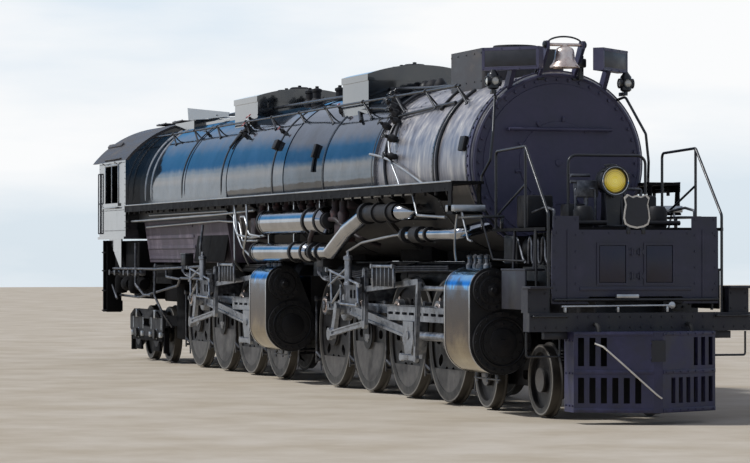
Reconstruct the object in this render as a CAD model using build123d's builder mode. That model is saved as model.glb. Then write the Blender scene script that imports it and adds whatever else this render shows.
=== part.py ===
from build123d import *
import os
from math import acos, atan2, cos, degrees, hypot, radians, sin, sqrt

os.makedirs("parts", exist_ok=True)

# An articulated steam locomotive without its tender, in millimetres.
# +X is forward, +Z is up and the origin lies under the middle of the engine, level with the wheel flanges' feet.
# Stations are distances ahead of the rearmost driving axle, and heights are above the rail top.

# Fits between pieces
SEAT = 0.3
RUNNING = 0.8

# Ends of the engine
REAR_END = -5990
FRONT_END = 20000
MIDDLE = (REAR_END + FRONT_END) / 2

# Wheels and axles
FLANGE = 28
BACK_TO_BACK = 1353
TYRE_WIDTH = 140
FLANGE_WIDTH = 32
TYRE_DEPTH = 140
TRUCK_RIM = 95
DRIVER_R = 864
LEADING_R = 457
TRAILING_R = 533
DRIVER_AXLE_R = 140
TRUCK_AXLE_R = 90
DRIVER_SPACING = 1854
ENGINE_SPACING = 8839
LEADING_AXLES = (15980, 18050)
TRAILING_AXLES = (-4035, -2460)
TYRE_IN = BACK_TO_BACK / 2
TYRE_OUT = TYRE_IN + TYRE_WIDTH
REAR_DRIVERS = [DRIVER_SPACING * (3 - i) for i in range(4)]
FRONT_DRIVERS = [ENGINE_SPACING + s for s in REAR_DRIVERS]
MAIN_AXLE = 2

# Cranks and rods
CRANK = 406
PIN_R = 80
MAIN_PIN_R = 110
PIN_END = 15
ROD_IN = 885
ROD_THICK = 95
ROD_OUT = ROD_IN + ROD_THICK
MAIN_ROD_THICK = 100
MAIN_ROD_LENGTH = 3325

# Cylinders: the valve chest above each has its outer side flush with the cylinder's
CYLINDER_LENGTH = 1040
CYLINDER_Y = 1170
CYLINDER_Z = 930
CYLINDER_R = 420
CHEST_Z = 1600
CHEST_R = 290
CHEST_Y = CYLINDER_Y + CYLINDER_R - CHEST_R
COVER = 60
REAR_CYLINDER = 7050
FRONT_CYLINDER = 17030
SADDLE_END = 100
SADDLE_SIDES = (1130, 1550)
SADDLE_TIE = 220
FRONT_SADDLE_TOP = 1900

# Engine beds
BED_HALF = 520
BED_PLATE = 130
BED_TOP = 1500
BED_LOW = 1180
PEDESTAL = 560
PEDESTAL_HALF = 330
HINGE = 7860
HINGE_PIN_R = 90
HINGE_LOW = 740
HINGE_EYE = (900, 1200)
TRUCK_PIN_R = 100

# Boiler
BOILER_Z = 3290
SMOKEBOX_R = 1210
SMOKEBOX_FRONT = 16510
SMOKEBOX_REAR = 12300
JACKET_FRONT_R = 1250
JACKET_R = 1330
TAPER_FRONT = 9600
TAPER_REAR = 7600
BAND = 70
BAND_RISE = 8
FIREBOX_FRONT = 3990
FIREBOX_BOTTOM = 2700
BACKHEAD = -3350
SIDES_REAR = -2480
SIDES_BOTTOM = 1930
JACKET_TOP = BOILER_Z + JACKET_R
BANDS = (
    # station, radius under the band
    (-2300, JACKET_R), (-1800, JACKET_R), (900, JACKET_R), (3950, JACKET_R), (TAPER_REAR, JACKET_R),
    (TAPER_FRONT + BAND / 2, JACKET_FRONT_R), (SMOKEBOX_REAR - BAND / 2, JACKET_FRONT_R),
    (SMOKEBOX_FRONT - BAND / 2, SMOKEBOX_R),
)

# Cab, set over the boiler's rear end
CAB_FRONT = -2820
CAB_REAR = -5250
CAB_HALF = JACKET_R + 270
CAB_WALL = 50
CAB_FLOOR_Z = 2380
CAB_FLOOR = 60
EAVE_Z = BOILER_Z + 630
ROOF_Z = JACKET_TOP + 80
ROOF_REAR = -5900

# Running boards
BOARD_Z = 3030
BOARD_THICK = 40
BOARD_HALF = JACKET_R + 290
BOARD_FRONT = 16900
BOARD_EDGE = 130
BOARD_WIDTH = 450

# Front end
BEAM_REAR, BEAM_FRONT = 19220, 19440
BEAM_LOW, BEAM_TOP = 1110, 1340
BEAM_HALF = 1480
SHIELD_X = 19265
DECK_Z = 2400
LEADING_PIVOT = sum(LEADING_AXLES) / 2
TRAILING_PIVOT = -1500


def along(station):
    return station - MIDDLE


def above(height):
    return height + FLANGE


def across(station):
    """The plane across the engine at a station: sketch x is the engine's Y, sketch y is up."""
    return Plane(origin=(along(station), 0, 0), x_dir=(0, 1, 0), z_dir=(1, 0, 0))


def beside(y):
    """The upright plane along the engine at a distance y to its right: sketch x is forward, sketch y is up."""
    return Plane(origin=(0, -y, 0), x_dir=(1, 0, 0), z_dir=(0, -1, 0))


def level(height):
    return Plane.XY.offset(above(height))


def side_view(points):
    """Sketch points for a plane from beside(), from stations and heights."""
    return [(along(s), above(h)) for s, h in points]


def plan(points):
    """Sketch points for a plane from level(), from stations and distances to the left."""
    return [(along(s), y) for s, y in points]


def save(part, label):
    part.label = label
    export_step(part, f"parts/{label}.step")


def both_sides(right):
    """The right-hand piece and its mirror image on the left."""
    with BuildPart() as pair:
        add(right)
        mirror(about=Plane.XZ)
    return pair.part


def pipe(places, bend, radius):
    """A round pipe along straight runs between places, with a bend of one radius at each corner."""
    with BuildPart() as tube:
        with BuildLine() as path:
            if len(places) > 2:
                FilletPolyline(*places, radius=bend)
            else:
                Line(*places)
        with BuildSketch(Plane(origin=path.line @ 0, z_dir=path.line % 0)):
            Circle(radius)
        sweep()
    return tube.part


# Wheels

RIGHT_CRANK = 90
LEFT_CRANK = 180
SIDES = ((1, RIGHT_CRANK), (-1, LEFT_CRANK))


def crank_place(angle, radius=CRANK):
    """Where a pin sits from its axle, as forward and up, with the angle from forward."""
    return radius * cos(radians(angle)), radius * sin(radians(angle))


def side_plane(side, y):
    """The upright plane at y outwards on one side, looking outwards: its sketch x is forward only on the right."""
    return beside(y) if side == 1 else Plane(origin=(0, y, 0), x_dir=(-1, 0, 0), z_dir=(0, 1, 0))


def on_side(side, places):
    return [(side * px, pz) for px, pz in places]


def wheel_pair(station, radius, rim_r, hub_r, axle_r, hub_out, axle_out, web_in, web_out):
    """Two flanged wheels on their axle, turned about the axle's own line."""
    centre = Vector(along(station), 0, above(radius))
    section = Plane(origin=centre, x_dir=(0, 1, 0), z_dir=(1, 0, 0))
    with BuildPart() as pair:
        with BuildSketch(section):
            with BuildLine():
                Polyline(
                    (TYRE_IN, 0), (hub_out, 0), (hub_out, hub_r), (web_out, hub_r), (web_out, rim_r),
                    (TYRE_OUT, rim_r), (TYRE_OUT, radius - 6), (TYRE_OUT - 6, radius),
                    (TYRE_IN + FLANGE_WIDTH, radius), (TYRE_IN + FLANGE_WIDTH / 2, radius + FLANGE),
                    (TYRE_IN, radius + FLANGE), (TYRE_IN, rim_r), (web_in, rim_r), (web_in, hub_r),
                    (TYRE_IN, hub_r), close=True,
                )
            make_face()
            with Locations((axle_out / 2, axle_r / 2)):
                Rectangle(axle_out, axle_r)
        revolve(axis=Axis(centre, (0, 1, 0)))
        mirror(about=Plane.XZ)
    return pair.part


HUB_R = 230
HUB_OUT = 850
BOSS_OUT = 872
BOSS_R = 165
WEB_IN = 705
WEB_OUT = 790
WEIGHT_OUT = WEB_OUT + 22
WEIGHT_FROM = 400
MAIN_WEIGHT_FROM = 120
SPOKE_HOLES = 10
SPOKE_HOLE = (200, 130)
SPOKE_HOLE_R = 490
DRIVER_RIM_R = DRIVER_R - TYRE_DEPTH


def driving_wheelset(station, main):
    """A driving axle: wheels with slots between hollow spokes, a weight opposite each crank, and the pins."""
    weight_from = MAIN_WEIGHT_FROM if main else WEIGHT_FROM
    with BuildPart() as wheelset:
        add(wheel_pair(station, DRIVER_R, DRIVER_RIM_R, HUB_R, DRIVER_AXLE_R, HUB_OUT, HUB_OUT, WEB_IN, WEB_OUT))
        for side, crank in SIDES:
            angle = crank if side == 1 else 180 - crank
            web = side_plane(side, WEB_IN)
            axle = Pos(side * along(station), above(DRIVER_R))
            with BuildSketch(web):
                with Locations(axle):
                    with PolarLocations(SPOKE_HOLE_R, SPOKE_HOLES, start_angle=angle + 180 / SPOKE_HOLES):
                        SlotOverall(*SPOKE_HOLE)
            extrude(amount=WEB_OUT - WEB_IN, mode=Mode.SUBTRACT)
            with BuildSketch(web):
                with Locations(axle):
                    Circle(DRIVER_RIM_R)
                with Locations(axle * Rot(0, 0, angle) * Pos(DRIVER_RIM_R - weight_from, 0)):
                    Rectangle(2 * DRIVER_RIM_R, 2 * DRIVER_RIM_R, mode=Mode.SUBTRACT)
            extrude(amount=WEIGHT_OUT - WEB_IN)
            with BuildSketch(web):
                with Locations(axle * Rot(0, 0, angle) * Pos(CRANK, 0)):
                    Circle(BOSS_R)
                with Locations(axle * Rot(0, 0, angle) * Pos(CRANK / 2, 0)):
                    Rectangle(CRANK, 1.6 * BOSS_R)
            extrude(amount=BOSS_OUT - WEB_IN)
            with BuildSketch(web):
                with Locations(axle * Rot(0, 0, angle) * Pos(CRANK, 0)):
                    Circle(MAIN_PIN_R if main else PIN_R)
            extrude(amount=ROD_OUT + PIN_END - WEB_IN)
    return wheelset.part


for engine, stations in (("rear", REAR_DRIVERS), ("front", FRONT_DRIVERS)):
    for i, station in enumerate(stations):
        save(driving_wheelset(station, i == MAIN_AXLE), f"{engine}_driver_{i + 1}")

TRUCK_HUB_R = 155
TRUCK_HUB_OUT = TYRE_OUT + 10
TRUCK_WEB = (TYRE_IN + 45, TYRE_IN + 85)
JOURNAL_OUT = 1130
for name, stations, radius, axle_out in (
    ("leading", LEADING_AXLES, LEADING_R, TRUCK_HUB_OUT),
    ("trailing", TRAILING_AXLES, TRAILING_R, JOURNAL_OUT),
):
    for i, station in enumerate(reversed(stations)):
        pair = wheel_pair(
            station, radius, radius - TRUCK_RIM, TRUCK_HUB_R, TRUCK_AXLE_R, TRUCK_HUB_OUT, axle_out, *TRUCK_WEB
        )
        save(pair, f"{name}_wheels_{i + 1}")


# Rods

def rod_bar(start, end, width):
    """Adds a bar with round ends, from pin to pin, to the sketch that is open."""
    run_x, run_z = end[0] - start[0], end[1] - start[1]
    with Locations(((start[0] + end[0]) / 2, (start[1] + end[1]) / 2)):
        SlotCenterToCenter(hypot(run_x, run_z), width, rotation=degrees(atan2(run_z, run_x)))


def flute(start, end, width, inset):
    """Adds a rod's flute, which ends an inset short of each pin, to the sketch that is open."""
    share = inset / hypot(end[0] - start[0], end[1] - start[1])
    first = [a + (b - a) * share for a, b in zip(start, end)]
    last = [b - (b - a) * share for a, b in zip(start, end)]
    rod_bar(first, last, width)


def pins_of(stations, angle):
    forward, up = crank_place(angle)
    return [(along(s) + forward, above(DRIVER_R) + up) for s in stations]


ROD_BAR = 130
ROD_EYE_R = 150
MAIN_EYE_R = 195
FLUTE_DEPTH = 18


def coupling_rods(stations, side, angle):
    """The fluted rods that join one side's crank pins, level with each other."""
    pins = on_side(side, pins_of(stations, angle))
    with BuildPart() as rods:
        with BuildSketch(side_plane(side, ROD_IN)):
            for first, second in zip(pins, pins[1:]):
                rod_bar(first, second, ROD_BAR)
            for i, pin in enumerate(pins):
                with Locations(pin):
                    Circle(MAIN_EYE_R if i == MAIN_AXLE else ROD_EYE_R)
            for i, pin in enumerate(pins):
                with Locations(pin):
                    Circle((MAIN_PIN_R if i == MAIN_AXLE else PIN_R) + RUNNING, mode=Mode.SUBTRACT)
        extrude(amount=ROD_THICK)
        with BuildSketch(side_plane(side, ROD_OUT - FLUTE_DEPTH)):
            for first, second in zip(pins, pins[1:]):
                flute(first, second, ROD_BAR / 2, 2 * ROD_EYE_R)
        extrude(amount=FLUTE_DEPTH, mode=Mode.SUBTRACT)
    return rods.part


for engine, stations in (("rear", REAR_DRIVERS), ("front", FRONT_DRIVERS)):
    for side, angle in SIDES:
        name = "right" if side == 1 else "left"
        save(coupling_rods(stations, side, angle), f"{engine}_{name}_coupling_rods")

# Main rods, crossheads and guides
MAIN_ROD_IN = CYLINDER_Y - MAIN_ROD_THICK / 2
MAIN_ROD_OUT = CYLINDER_Y + MAIN_ROD_THICK / 2
MAIN_ROD_BAR = 150
BIG_END_R = 200
JOURNAL_IN = ROD_OUT + PIN_END + 8
CRANK_IN = MAIN_ROD_OUT + 80
CROSSHEAD_LENGTH = 460
CROSSHEAD_HALF = 110
CROSSHEAD_LOW = 600
CROSSHEAD_WALL = 45
CHEEK_GAP = 12
GUIDE_BOTTOM = 1130
GUIDE_TOP = 1330
GUIDE_HALF = 65
GUIDE_START = 2200
GUIDE_SLOT = (230, 40)
SLIPPER = 5
CROSSHEAD_TOP = GUIDE_BOTTOM - SLIPPER
PISTON_ROD_R = 60
WRIST_R = 60
WRIST_EYE_R = 110
YOKE = 40
YOKE_STATION = 4760
YOKE_HEIGHT = 360


def wrist_of(station, angle):
    """The crosshead's pin, from the crank and the main rod's length."""
    pin_x, pin_z = pins_of([station], angle)[0]
    return pin_x + sqrt(MAIN_ROD_LENGTH**2 - (above(CYLINDER_Z) - pin_z)**2), above(CYLINDER_Z)


def main_rod(station, side, angle):
    """A fluted rod from the crosshead to the crank, with the journal that it turns on."""
    pin, wrist = on_side(side, [pins_of([station], angle)[0], wrist_of(station, angle)])
    with BuildPart() as rod:
        with BuildSketch(side_plane(side, MAIN_ROD_IN)):
            rod_bar(pin, wrist, MAIN_ROD_BAR)
            with Locations(pin):
                Circle(BIG_END_R)
            with Locations(wrist):
                Circle(WRIST_EYE_R)
                Circle(WRIST_R + RUNNING, mode=Mode.SUBTRACT)
        extrude(amount=MAIN_ROD_THICK)
        with BuildSketch(side_plane(side, MAIN_ROD_OUT - FLUTE_DEPTH)):
            flute(pin, wrist, MAIN_ROD_BAR / 2, 1.6 * BIG_END_R)
        extrude(amount=FLUTE_DEPTH, mode=Mode.SUBTRACT)
        with BuildSketch(side_plane(side, JOURNAL_IN)):
            with Locations(pin):
                Circle(MAIN_PIN_R)
        extrude(amount=CRANK_IN - SEAT - JOURNAL_IN)
    return rod.part


def crosshead(station, side, angle, cylinder_back):
    """Two cheeks under a slipper, with the wrist pin through them and the piston rod ahead."""
    (wrist,) = on_side(side, [wrist_of(station, angle)])
    half, foot = CROSSHEAD_LENGTH / 2, CROSSHEAD_LENGTH / 4
    with BuildPart() as head:
        with BuildSketch(side_plane(side, CYLINDER_Y - CROSSHEAD_HALF)):
            with BuildLine():
                Polyline(
                    (wrist[0] - half, above(CROSSHEAD_TOP)), (wrist[0] + half, above(CROSSHEAD_TOP)),
                    (wrist[0] + half, above(CYLINDER_Z) - PISTON_ROD_R), (wrist[0] + foot, above(CROSSHEAD_LOW)),
                    (wrist[0] - foot, above(CROSSHEAD_LOW)), (wrist[0] - half, above(CYLINDER_Z) - PISTON_ROD_R),
                    close=True,
                )
            make_face()
        extrude(amount=2 * CROSSHEAD_HALF)
        with BuildSketch(side_plane(side, MAIN_ROD_IN - CHEEK_GAP)):
            room = CROSSHEAD_TOP - CROSSHEAD_WALL - CROSSHEAD_LOW
            with Locations((wrist[0] - side * 2 * CROSSHEAD_WALL, above(CROSSHEAD_LOW) + room / 2)):
                Rectangle(CROSSHEAD_LENGTH, room)
        extrude(amount=MAIN_ROD_THICK + 2 * CHEEK_GAP, mode=Mode.SUBTRACT)
        with BuildSketch(side_plane(side, CYLINDER_Y - CROSSHEAD_HALF - 15)):
            with Locations(wrist):
                Circle(WRIST_R)
        extrude(amount=2 * CROSSHEAD_HALF + 30)
        rod_start = side * wrist[0] + half - CROSSHEAD_WALL
        rod_plane = Plane(
            origin=(rod_start, -side * CYLINDER_Y, above(CYLINDER_Z)), x_dir=(0, 1, 0), z_dir=(1, 0, 0)
        )
        with BuildSketch(rod_plane):
            Circle(PISTON_ROD_R)
        extrude(amount=along(cylinder_back) - SEAT - rod_start)
    return head.part


def guides(station, cylinder_back, yoke):
    """The slotted guide bar over each crosshead, and where the bar is long, the yoke across the bed under it."""
    start, end = along(station + GUIDE_START), along(cylinder_back) - SEAT
    middle = above((GUIDE_BOTTOM + GUIDE_TOP) / 2)
    with BuildPart() as bar:
        with BuildSketch(beside(CYLINDER_Y - GUIDE_HALF)):
            with Locations(((start + end) / 2, middle)):
                Rectangle(end - start, GUIDE_TOP - GUIDE_BOTTOM)
                slots = int((end - start) / (1.4 * GUIDE_SLOT[0]))
                with GridLocations(1.4 * GUIDE_SLOT[0], 0, slots, 1):
                    SlotOverall(*GUIDE_SLOT, mode=Mode.SUBTRACT)
        extrude(amount=2 * GUIDE_HALF)
        if yoke:
            with BuildSketch(beside(BED_HALF + SEAT)):
                with Locations((along(station + YOKE_STATION), above(GUIDE_TOP))):
                    Rectangle(YOKE, YOKE_HEIGHT)
            extrude(amount=CYLINDER_Y + GUIDE_HALF - BED_HALF)
    return both_sides(bar.part)


# Valve gear outside the main rods
CRANK_THICK = 60
GEAR_IN = CRANK_IN + CRANK_THICK
GEAR_THICK = 55
GEAR_OUT = GEAR_IN + GEAR_THICK
ECCENTRIC_R = 190
LINK_X = 1600
LINK_FOOT = 1060
LINK_TOP = 1800
LINK_WIDTH = 150
COMBINATION = 4110
LEVER_LEAN = 110
UNION_Z = CROSSHEAD_LOW + 30
STEM_R = 35
LINK_BOX = (900, 1620, 1330, 1640)
LINK_BOX_SLANT = (260, 90)
LINK_WINDOWS = ((0, 130), (170, 110))
BOX_THICK = 60
BOX_IN = GEAR_OUT + 15


def valve_gear(station, side, angle, chest_back):
    """Return crank, eccentric rod, link, radius rod, combination lever and valve stem of one side."""
    pin = pins_of([station], angle)[0]
    forward, up = crank_place(angle + 90, ECCENTRIC_R)
    eccentric = (along(station) + forward, above(DRIVER_R) + up)
    foot = (along(station + LINK_X), above(LINK_FOOT))
    top = (along(station + LINK_X) + 30, above(LINK_TOP))
    die = (along(station + LINK_X) + 20, above(CHEST_Z) - 40)
    lever_x = along(station + COMBINATION)
    lever_top, lever_mid = (lever_x + 15, above(CHEST_Z) + 90), (lever_x, above(CHEST_Z))
    lever_low = (lever_x - LEVER_LEAN, above(UNION_Z))
    union = (wrist_of(station, angle)[0] + 60, above(UNION_Z))
    with BuildPart() as gear:
        with BuildSketch(side_plane(side, CRANK_IN)):
            rod_bar(*on_side(side, [pin, eccentric]), 140)
        extrude(amount=CRANK_THICK)
        with BuildSketch(side_plane(side, GEAR_IN)):
            rod_bar(*on_side(side, [eccentric, foot]), 85)
            rod_bar(*on_side(side, [foot, top]), LINK_WIDTH)
            rod_bar(*on_side(side, [die, lever_top]), 80)
            rod_bar(*on_side(side, [lever_top, lever_low]), 75)
            rod_bar(*on_side(side, [lever_low, union]), 70)
            for eye, radius in ((eccentric, 95), (foot, 75), (lever_low, 55), (union, 55)):
                with Locations(*on_side(side, [eye])):
                    Circle(radius)
        extrude(amount=GEAR_THICK)
        with BuildSketch(side_plane(side, GEAR_OUT - FLUTE_DEPTH)):
            flute(*on_side(side, [eccentric, foot]), 40, 180)
            flute(*on_side(side, [foot, top]), 60, 60)
            flute(*on_side(side, [lever_top, lever_low]), 35, 180)
        extrude(amount=FLUTE_DEPTH, mode=Mode.SUBTRACT)
        # the union link ends on a lug of the crosshead, and the valve stem on the lever's cross pin
        with BuildSketch(side_plane(side, CYLINDER_Y + CROSSHEAD_HALF + SEAT)):
            with Locations(*on_side(side, [union])):
                Circle(40)
        extrude(amount=GEAR_IN - CYLINDER_Y - CROSSHEAD_HALF)
        with BuildSketch(side_plane(side, CHEST_Y - STEM_R)):
            with Locations(*on_side(side, [lever_mid])):
                Circle(STEM_R)
        extrude(amount=GEAR_IN - CHEST_Y + STEM_R)
        with BuildSketch(Plane(origin=(lever_x, -side * CHEST_Y, lever_mid[1]), x_dir=(0, 1, 0), z_dir=(1, 0, 0))):
            Circle(STEM_R)
        extrude(amount=along(chest_back) - SEAT - lever_x)
    return gear.part


def link_bracket(station):
    """The bracket that carries the link outside the wheels, on a plate that passes between two wheels."""
    plate = station + DRIVER_SPACING / 2
    rear, front, low, top = LINK_BOX
    out = BOX_IN + BOX_THICK
    with BuildPart() as bracket:
        with BuildSketch(across(plate - YOKE / 2)):
            with Locations((-(BED_HALF + SEAT + out) / 2, above(top - LINK_BOX_SLANT[0] / 2))):
                Rectangle(out - BED_HALF - SEAT, LINK_BOX_SLANT[0])
        extrude(amount=YOKE)
        with BuildSketch(beside(BOX_IN)):
            with BuildLine():
                Polyline(*side_view((
                    (station + rear, top), (station + front, top), (station + front, low + LINK_BOX_SLANT[1]),
                    (station + front - LINK_BOX_SLANT[0], low), (station + rear, low),
                )), close=True)
            make_face()
            for ahead, width in LINK_WINDOWS:
                with Locations((along(station + (rear + front) / 2 + ahead), above((low + top) / 2))):
                    RectangleRounded(width, LINK_WINDOWS[0][1], 30, mode=Mode.SUBTRACT)
        extrude(amount=BOX_THICK)
    return both_sides(bracket.part)


# Cylinders

def cylinder_block(station, saddle_z):
    """A pair of cylinders with their valve chests and covers, cast with the saddle between them."""
    rear = station - CYLINDER_LENGTH / 2
    # the casing's outline runs along both common tangents of the cylinder and the chest
    cylinder, chest = Vector(-CYLINDER_Y, above(CYLINDER_Z)), Vector(-CHEST_Y, above(CHEST_Z))
    rise = chest - cylinder
    lean = degrees(atan2(rise.Y, rise.X))
    tangent = degrees(acos((CYLINDER_R - CHEST_R) / rise.length))
    covers = (
        # height, distance out, radius, reach beyond the casing
        (CYLINDER_Z, CYLINDER_Y, CYLINDER_R - 25, COVER),
        (CHEST_Z, CHEST_Y, CHEST_R - 30, COVER),
        (CYLINDER_Z, CYLINDER_Y, CYLINDER_R - 150, COVER + 30),
        (CHEST_Z, CHEST_Y, CHEST_R - 120, COVER + 25),
    )
    with BuildPart() as block:
        with BuildSketch(across(rear)):
            with BuildLine():
                bottom = CenterArc(cylinder, CYLINDER_R, lean + tangent, 360 - 2 * tangent)
                over = CenterArc(chest, CHEST_R, lean - tangent, 2 * tangent)
                Line(bottom @ 0, over @ 1)
                Line(bottom @ 1, over @ 0)
            make_face()
        extrude(amount=CYLINDER_LENGTH)
        for z, y, r, reach in covers:
            back = COVER if reach == COVER else 0
            with BuildSketch(across(rear - back)):
                with Locations((-y, above(z))):
                    Circle(r)
            extrude(amount=CYLINDER_LENGTH + back + reach)
        mirror(about=Plane.XZ)
        with BuildSketch(across(rear + SADDLE_END)):
            low, high = SADDLE_SIDES
            for side in (-1, 1):
                with Locations((side * (CYLINDER_Y + BED_HALF + SEAT) / 2, above((low + high) / 2))):
                    Rectangle(CYLINDER_Y - BED_HALF - SEAT, high - low)
            with Locations((0, above(BED_TOP + SEAT + SADDLE_TIE / 2))):
                Rectangle(2 * CYLINDER_Y, SADDLE_TIE)
            with Locations((0, above((BED_TOP + SEAT + saddle_z) / 2))):
                Rectangle(2 * BED_HALF, saddle_z - BED_TOP - SEAT)
        extrude(amount=CYLINDER_LENGTH - 2 * SADDLE_END)
    return block.part


# Boiler

def boiler_outline(gap):
    """The boiler's outer form, grown by a gap so that what stands on it can be cut to it."""
    radii = (
        (SMOKEBOX_FRONT, SMOKEBOX_R), (SMOKEBOX_REAR, SMOKEBOX_R), (SMOKEBOX_REAR, JACKET_FRONT_R),
        (TAPER_FRONT, JACKET_FRONT_R), (TAPER_REAR, JACKET_R), (BACKHEAD, JACKET_R),
    )
    centre = Vector(along(0), 0, above(BOILER_Z))
    with BuildPart() as body:
        with BuildSketch(Plane(origin=centre, x_dir=(1, 0, 0), z_dir=(0, -1, 0))):
            with BuildLine():
                Polyline((BACKHEAD, 0), (SMOKEBOX_FRONT, 0), *[(s, r + gap) for s, r in radii], close=True)
            make_face()
            for band, r in BANDS:
                with Locations((band, (r + BAND_RISE + gap) / 2)):
                    Rectangle(BAND, r + BAND_RISE + gap)
        revolve(axis=Axis(centre, (1, 0, 0)))
        with BuildSketch(across(BACKHEAD)):
            with Locations((0, above((BOILER_Z + FIREBOX_BOTTOM) / 2) - gap / 2)):
                Rectangle(2 * (JACKET_R + gap), BOILER_Z - FIREBOX_BOTTOM + gap)
        extrude(amount=FIREBOX_FRONT - BACKHEAD)
        with BuildSketch(level(FIREBOX_BOTTOM - gap)):
            with Locations((along((FIREBOX_FRONT - gap + BACKHEAD) / 2), 0)):
                Rectangle(FIREBOX_FRONT - gap - BACKHEAD, 3 * JACKET_R)
        extrude(amount=-JACKET_R, mode=Mode.SUBTRACT)
    return body.part


BOILER_CUT = boiler_outline(SEAT)
save(boiler_outline(0), "boiler")

# Smokebox front with its ring, door and grab bar
FRONT_DISC = 40
DISC_RIM = 30
PLATE_R = SMOKEBOX_R - 150
DOOR_R = 560
GRAB_BAR = (3730, 730, 120, 22)


def front_disc(gap):
    """The plate that closes the smokebox, grown by a gap as the boiler's outline is."""
    with BuildPart() as disc:
        with BuildSketch(across(SMOKEBOX_FRONT + SEAT)):
            with Locations((0, above(BOILER_Z))):
                Circle(SMOKEBOX_R - DISC_RIM + gap)
        extrude(amount=FRONT_DISC + gap - SEAT)
    return disc.part


with BuildPart() as smokebox_front:
    add(front_disc(0))
    for radius, thickness in ((PLATE_R, 14), (DOOR_R, 26)):
        with BuildSketch(across(SMOKEBOX_FRONT + FRONT_DISC)):
            with Locations((0, above(BOILER_Z))):
                Circle(radius)
        extrude(amount=thickness, taper=20)
    bar_z, bar_half, bar_out, bar_r = GRAB_BAR
    for y in (bar_r - bar_half, bar_half - bar_r):
        with BuildSketch(across(SMOKEBOX_FRONT + FRONT_DISC)):
            with Locations((y, above(bar_z))):
                Circle(bar_r)
        extrude(amount=bar_out)
    with BuildSketch(Plane.XZ.offset(-bar_half)):
        with Locations((along(SMOKEBOX_FRONT + FRONT_DISC + bar_out), above(bar_z))):
            Circle(bar_r)
    extrude(amount=2 * bar_half)
save(smokebox_front.part, "smokebox_front")

# Casings on the boiler's top: two sand boxes with overhanging lids, and the turret's with a lower one ahead of it
CASING_LOW = BOILER_Z + 780
LID = 18
LID_BAND = 100
SAND_BOXES = (
    # name, rear, front, half width, side top, crown
    ("rear_sand_box", 2750, 4300, 850, JACKET_TOP + 190, JACKET_TOP + 330),
    ("front_sand_box", 9400, 10750, 850, JACKET_TOP + 190, JACKET_TOP + 340),
)
TURRET = (
    # rear, front, half width, low, side top, crown
    (CAB_FRONT + SEAT, -1300, 600, CASING_LOW, JACKET_TOP + 15, JACKET_TOP + 60),
    (-1350, SAND_BOXES[0][1] - LID - SEAT, 480, CASING_LOW, JACKET_TOP - 40, JACKET_TOP + 30),
)


def casing(stretches):
    """Boxes with arched tops, end to end along the boiler and fitted to its surface."""
    with BuildPart() as box:
        for rear, front, half, low, side_top, crown in stretches:
            with BuildSketch(across(rear)):
                with BuildLine():
                    outline = Polyline(
                        (-half, above(side_top)), (-half, above(low)), (half, above(low)), (half, above(side_top)),
                    )
                    ThreePointArc(outline @ 0, (0, above(crown)), outline @ 1)
                make_face()
            extrude(amount=front - rear)
        add(BOILER_CUT, mode=Mode.SUBTRACT)
    return box.part


for name, rear, front, half, side_top, crown in SAND_BOXES:
    save(casing((
        (rear, front, half, CASING_LOW, side_top, crown),
        (rear - LID, front + LID, half + LID, side_top - LID_BAND, side_top, crown),
    )), name)
save(casing(TURRET), "turret_casing")

STACKS = (13850, 15250, 600, 4905)
STACK_R = 270
STACK_RIM = 40
STACK_PITCH = 660
STACK_DEPTH = 320
with BuildPart() as stack_casing:
    rear, front, half, top = STACKS
    middle = along((rear + front) / 2)
    with BuildSketch(level(CASING_LOW)):
        with Locations((middle, 0)):
            RectangleRounded(front - rear, 2 * half, 60)
    extrude(amount=top - CASING_LOW)
    with BuildSketch(level(top)):
        with Locations((middle - STACK_PITCH / 2, 0), (middle + STACK_PITCH / 2, 0)):
            Circle(STACK_R + STACK_RIM)
    extrude(amount=STACK_RIM)
    with BuildSketch(level(top + STACK_RIM)):
        with Locations((middle - STACK_PITCH / 2, 0), (middle + STACK_PITCH / 2, 0)):
            Circle(STACK_R)
    extrude(amount=-STACK_DEPTH, mode=Mode.SUBTRACT)
    add(BOILER_CUT, mode=Mode.SUBTRACT)
save(stack_casing.part, "stack_casing")

# Firebox sides with the ash pan below, ribbed outside
SIDES_HALF = JACKET_R - 30
SIDES_LEAN = 120
RIB = 14
RIBS = 4
RIB_WIDTH = 60
RIB_LENGTH = 3800
RIB_PITCH = (FIREBOX_BOTTOM - SIDES_BOTTOM) / RIBS
with BuildPart() as firebox_sides:
    with BuildSketch(across(SIDES_REAR)):
        with BuildLine():
            Polyline(
                (-SIDES_HALF, above(FIREBOX_BOTTOM) - SEAT), (SIDES_HALF, above(FIREBOX_BOTTOM) - SEAT),
                (SIDES_HALF - SIDES_LEAN, above(SIDES_BOTTOM)), (SIDES_LEAN - SIDES_HALF, above(SIDES_BOTTOM)),
                close=True,
            )
        make_face()
    extrude(amount=FIREBOX_FRONT - SIDES_REAR - 100)
    for i in range(RIBS):
        z = SIDES_BOTTOM + (i + 0.5) * RIB_PITCH
        y = SIDES_HALF - SIDES_LEAN * (FIREBOX_BOTTOM - z) / (FIREBOX_BOTTOM - SIDES_BOTTOM)
        with BuildSketch(across(SIDES_REAR + RIB_WIDTH)):
            with Locations((0, above(z))):
                Rectangle(2 * y + 2 * RIB, RIB_WIDTH)
        extrude(amount=RIB_LENGTH)
save(firebox_sides.part, "firebox_sides")

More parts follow.
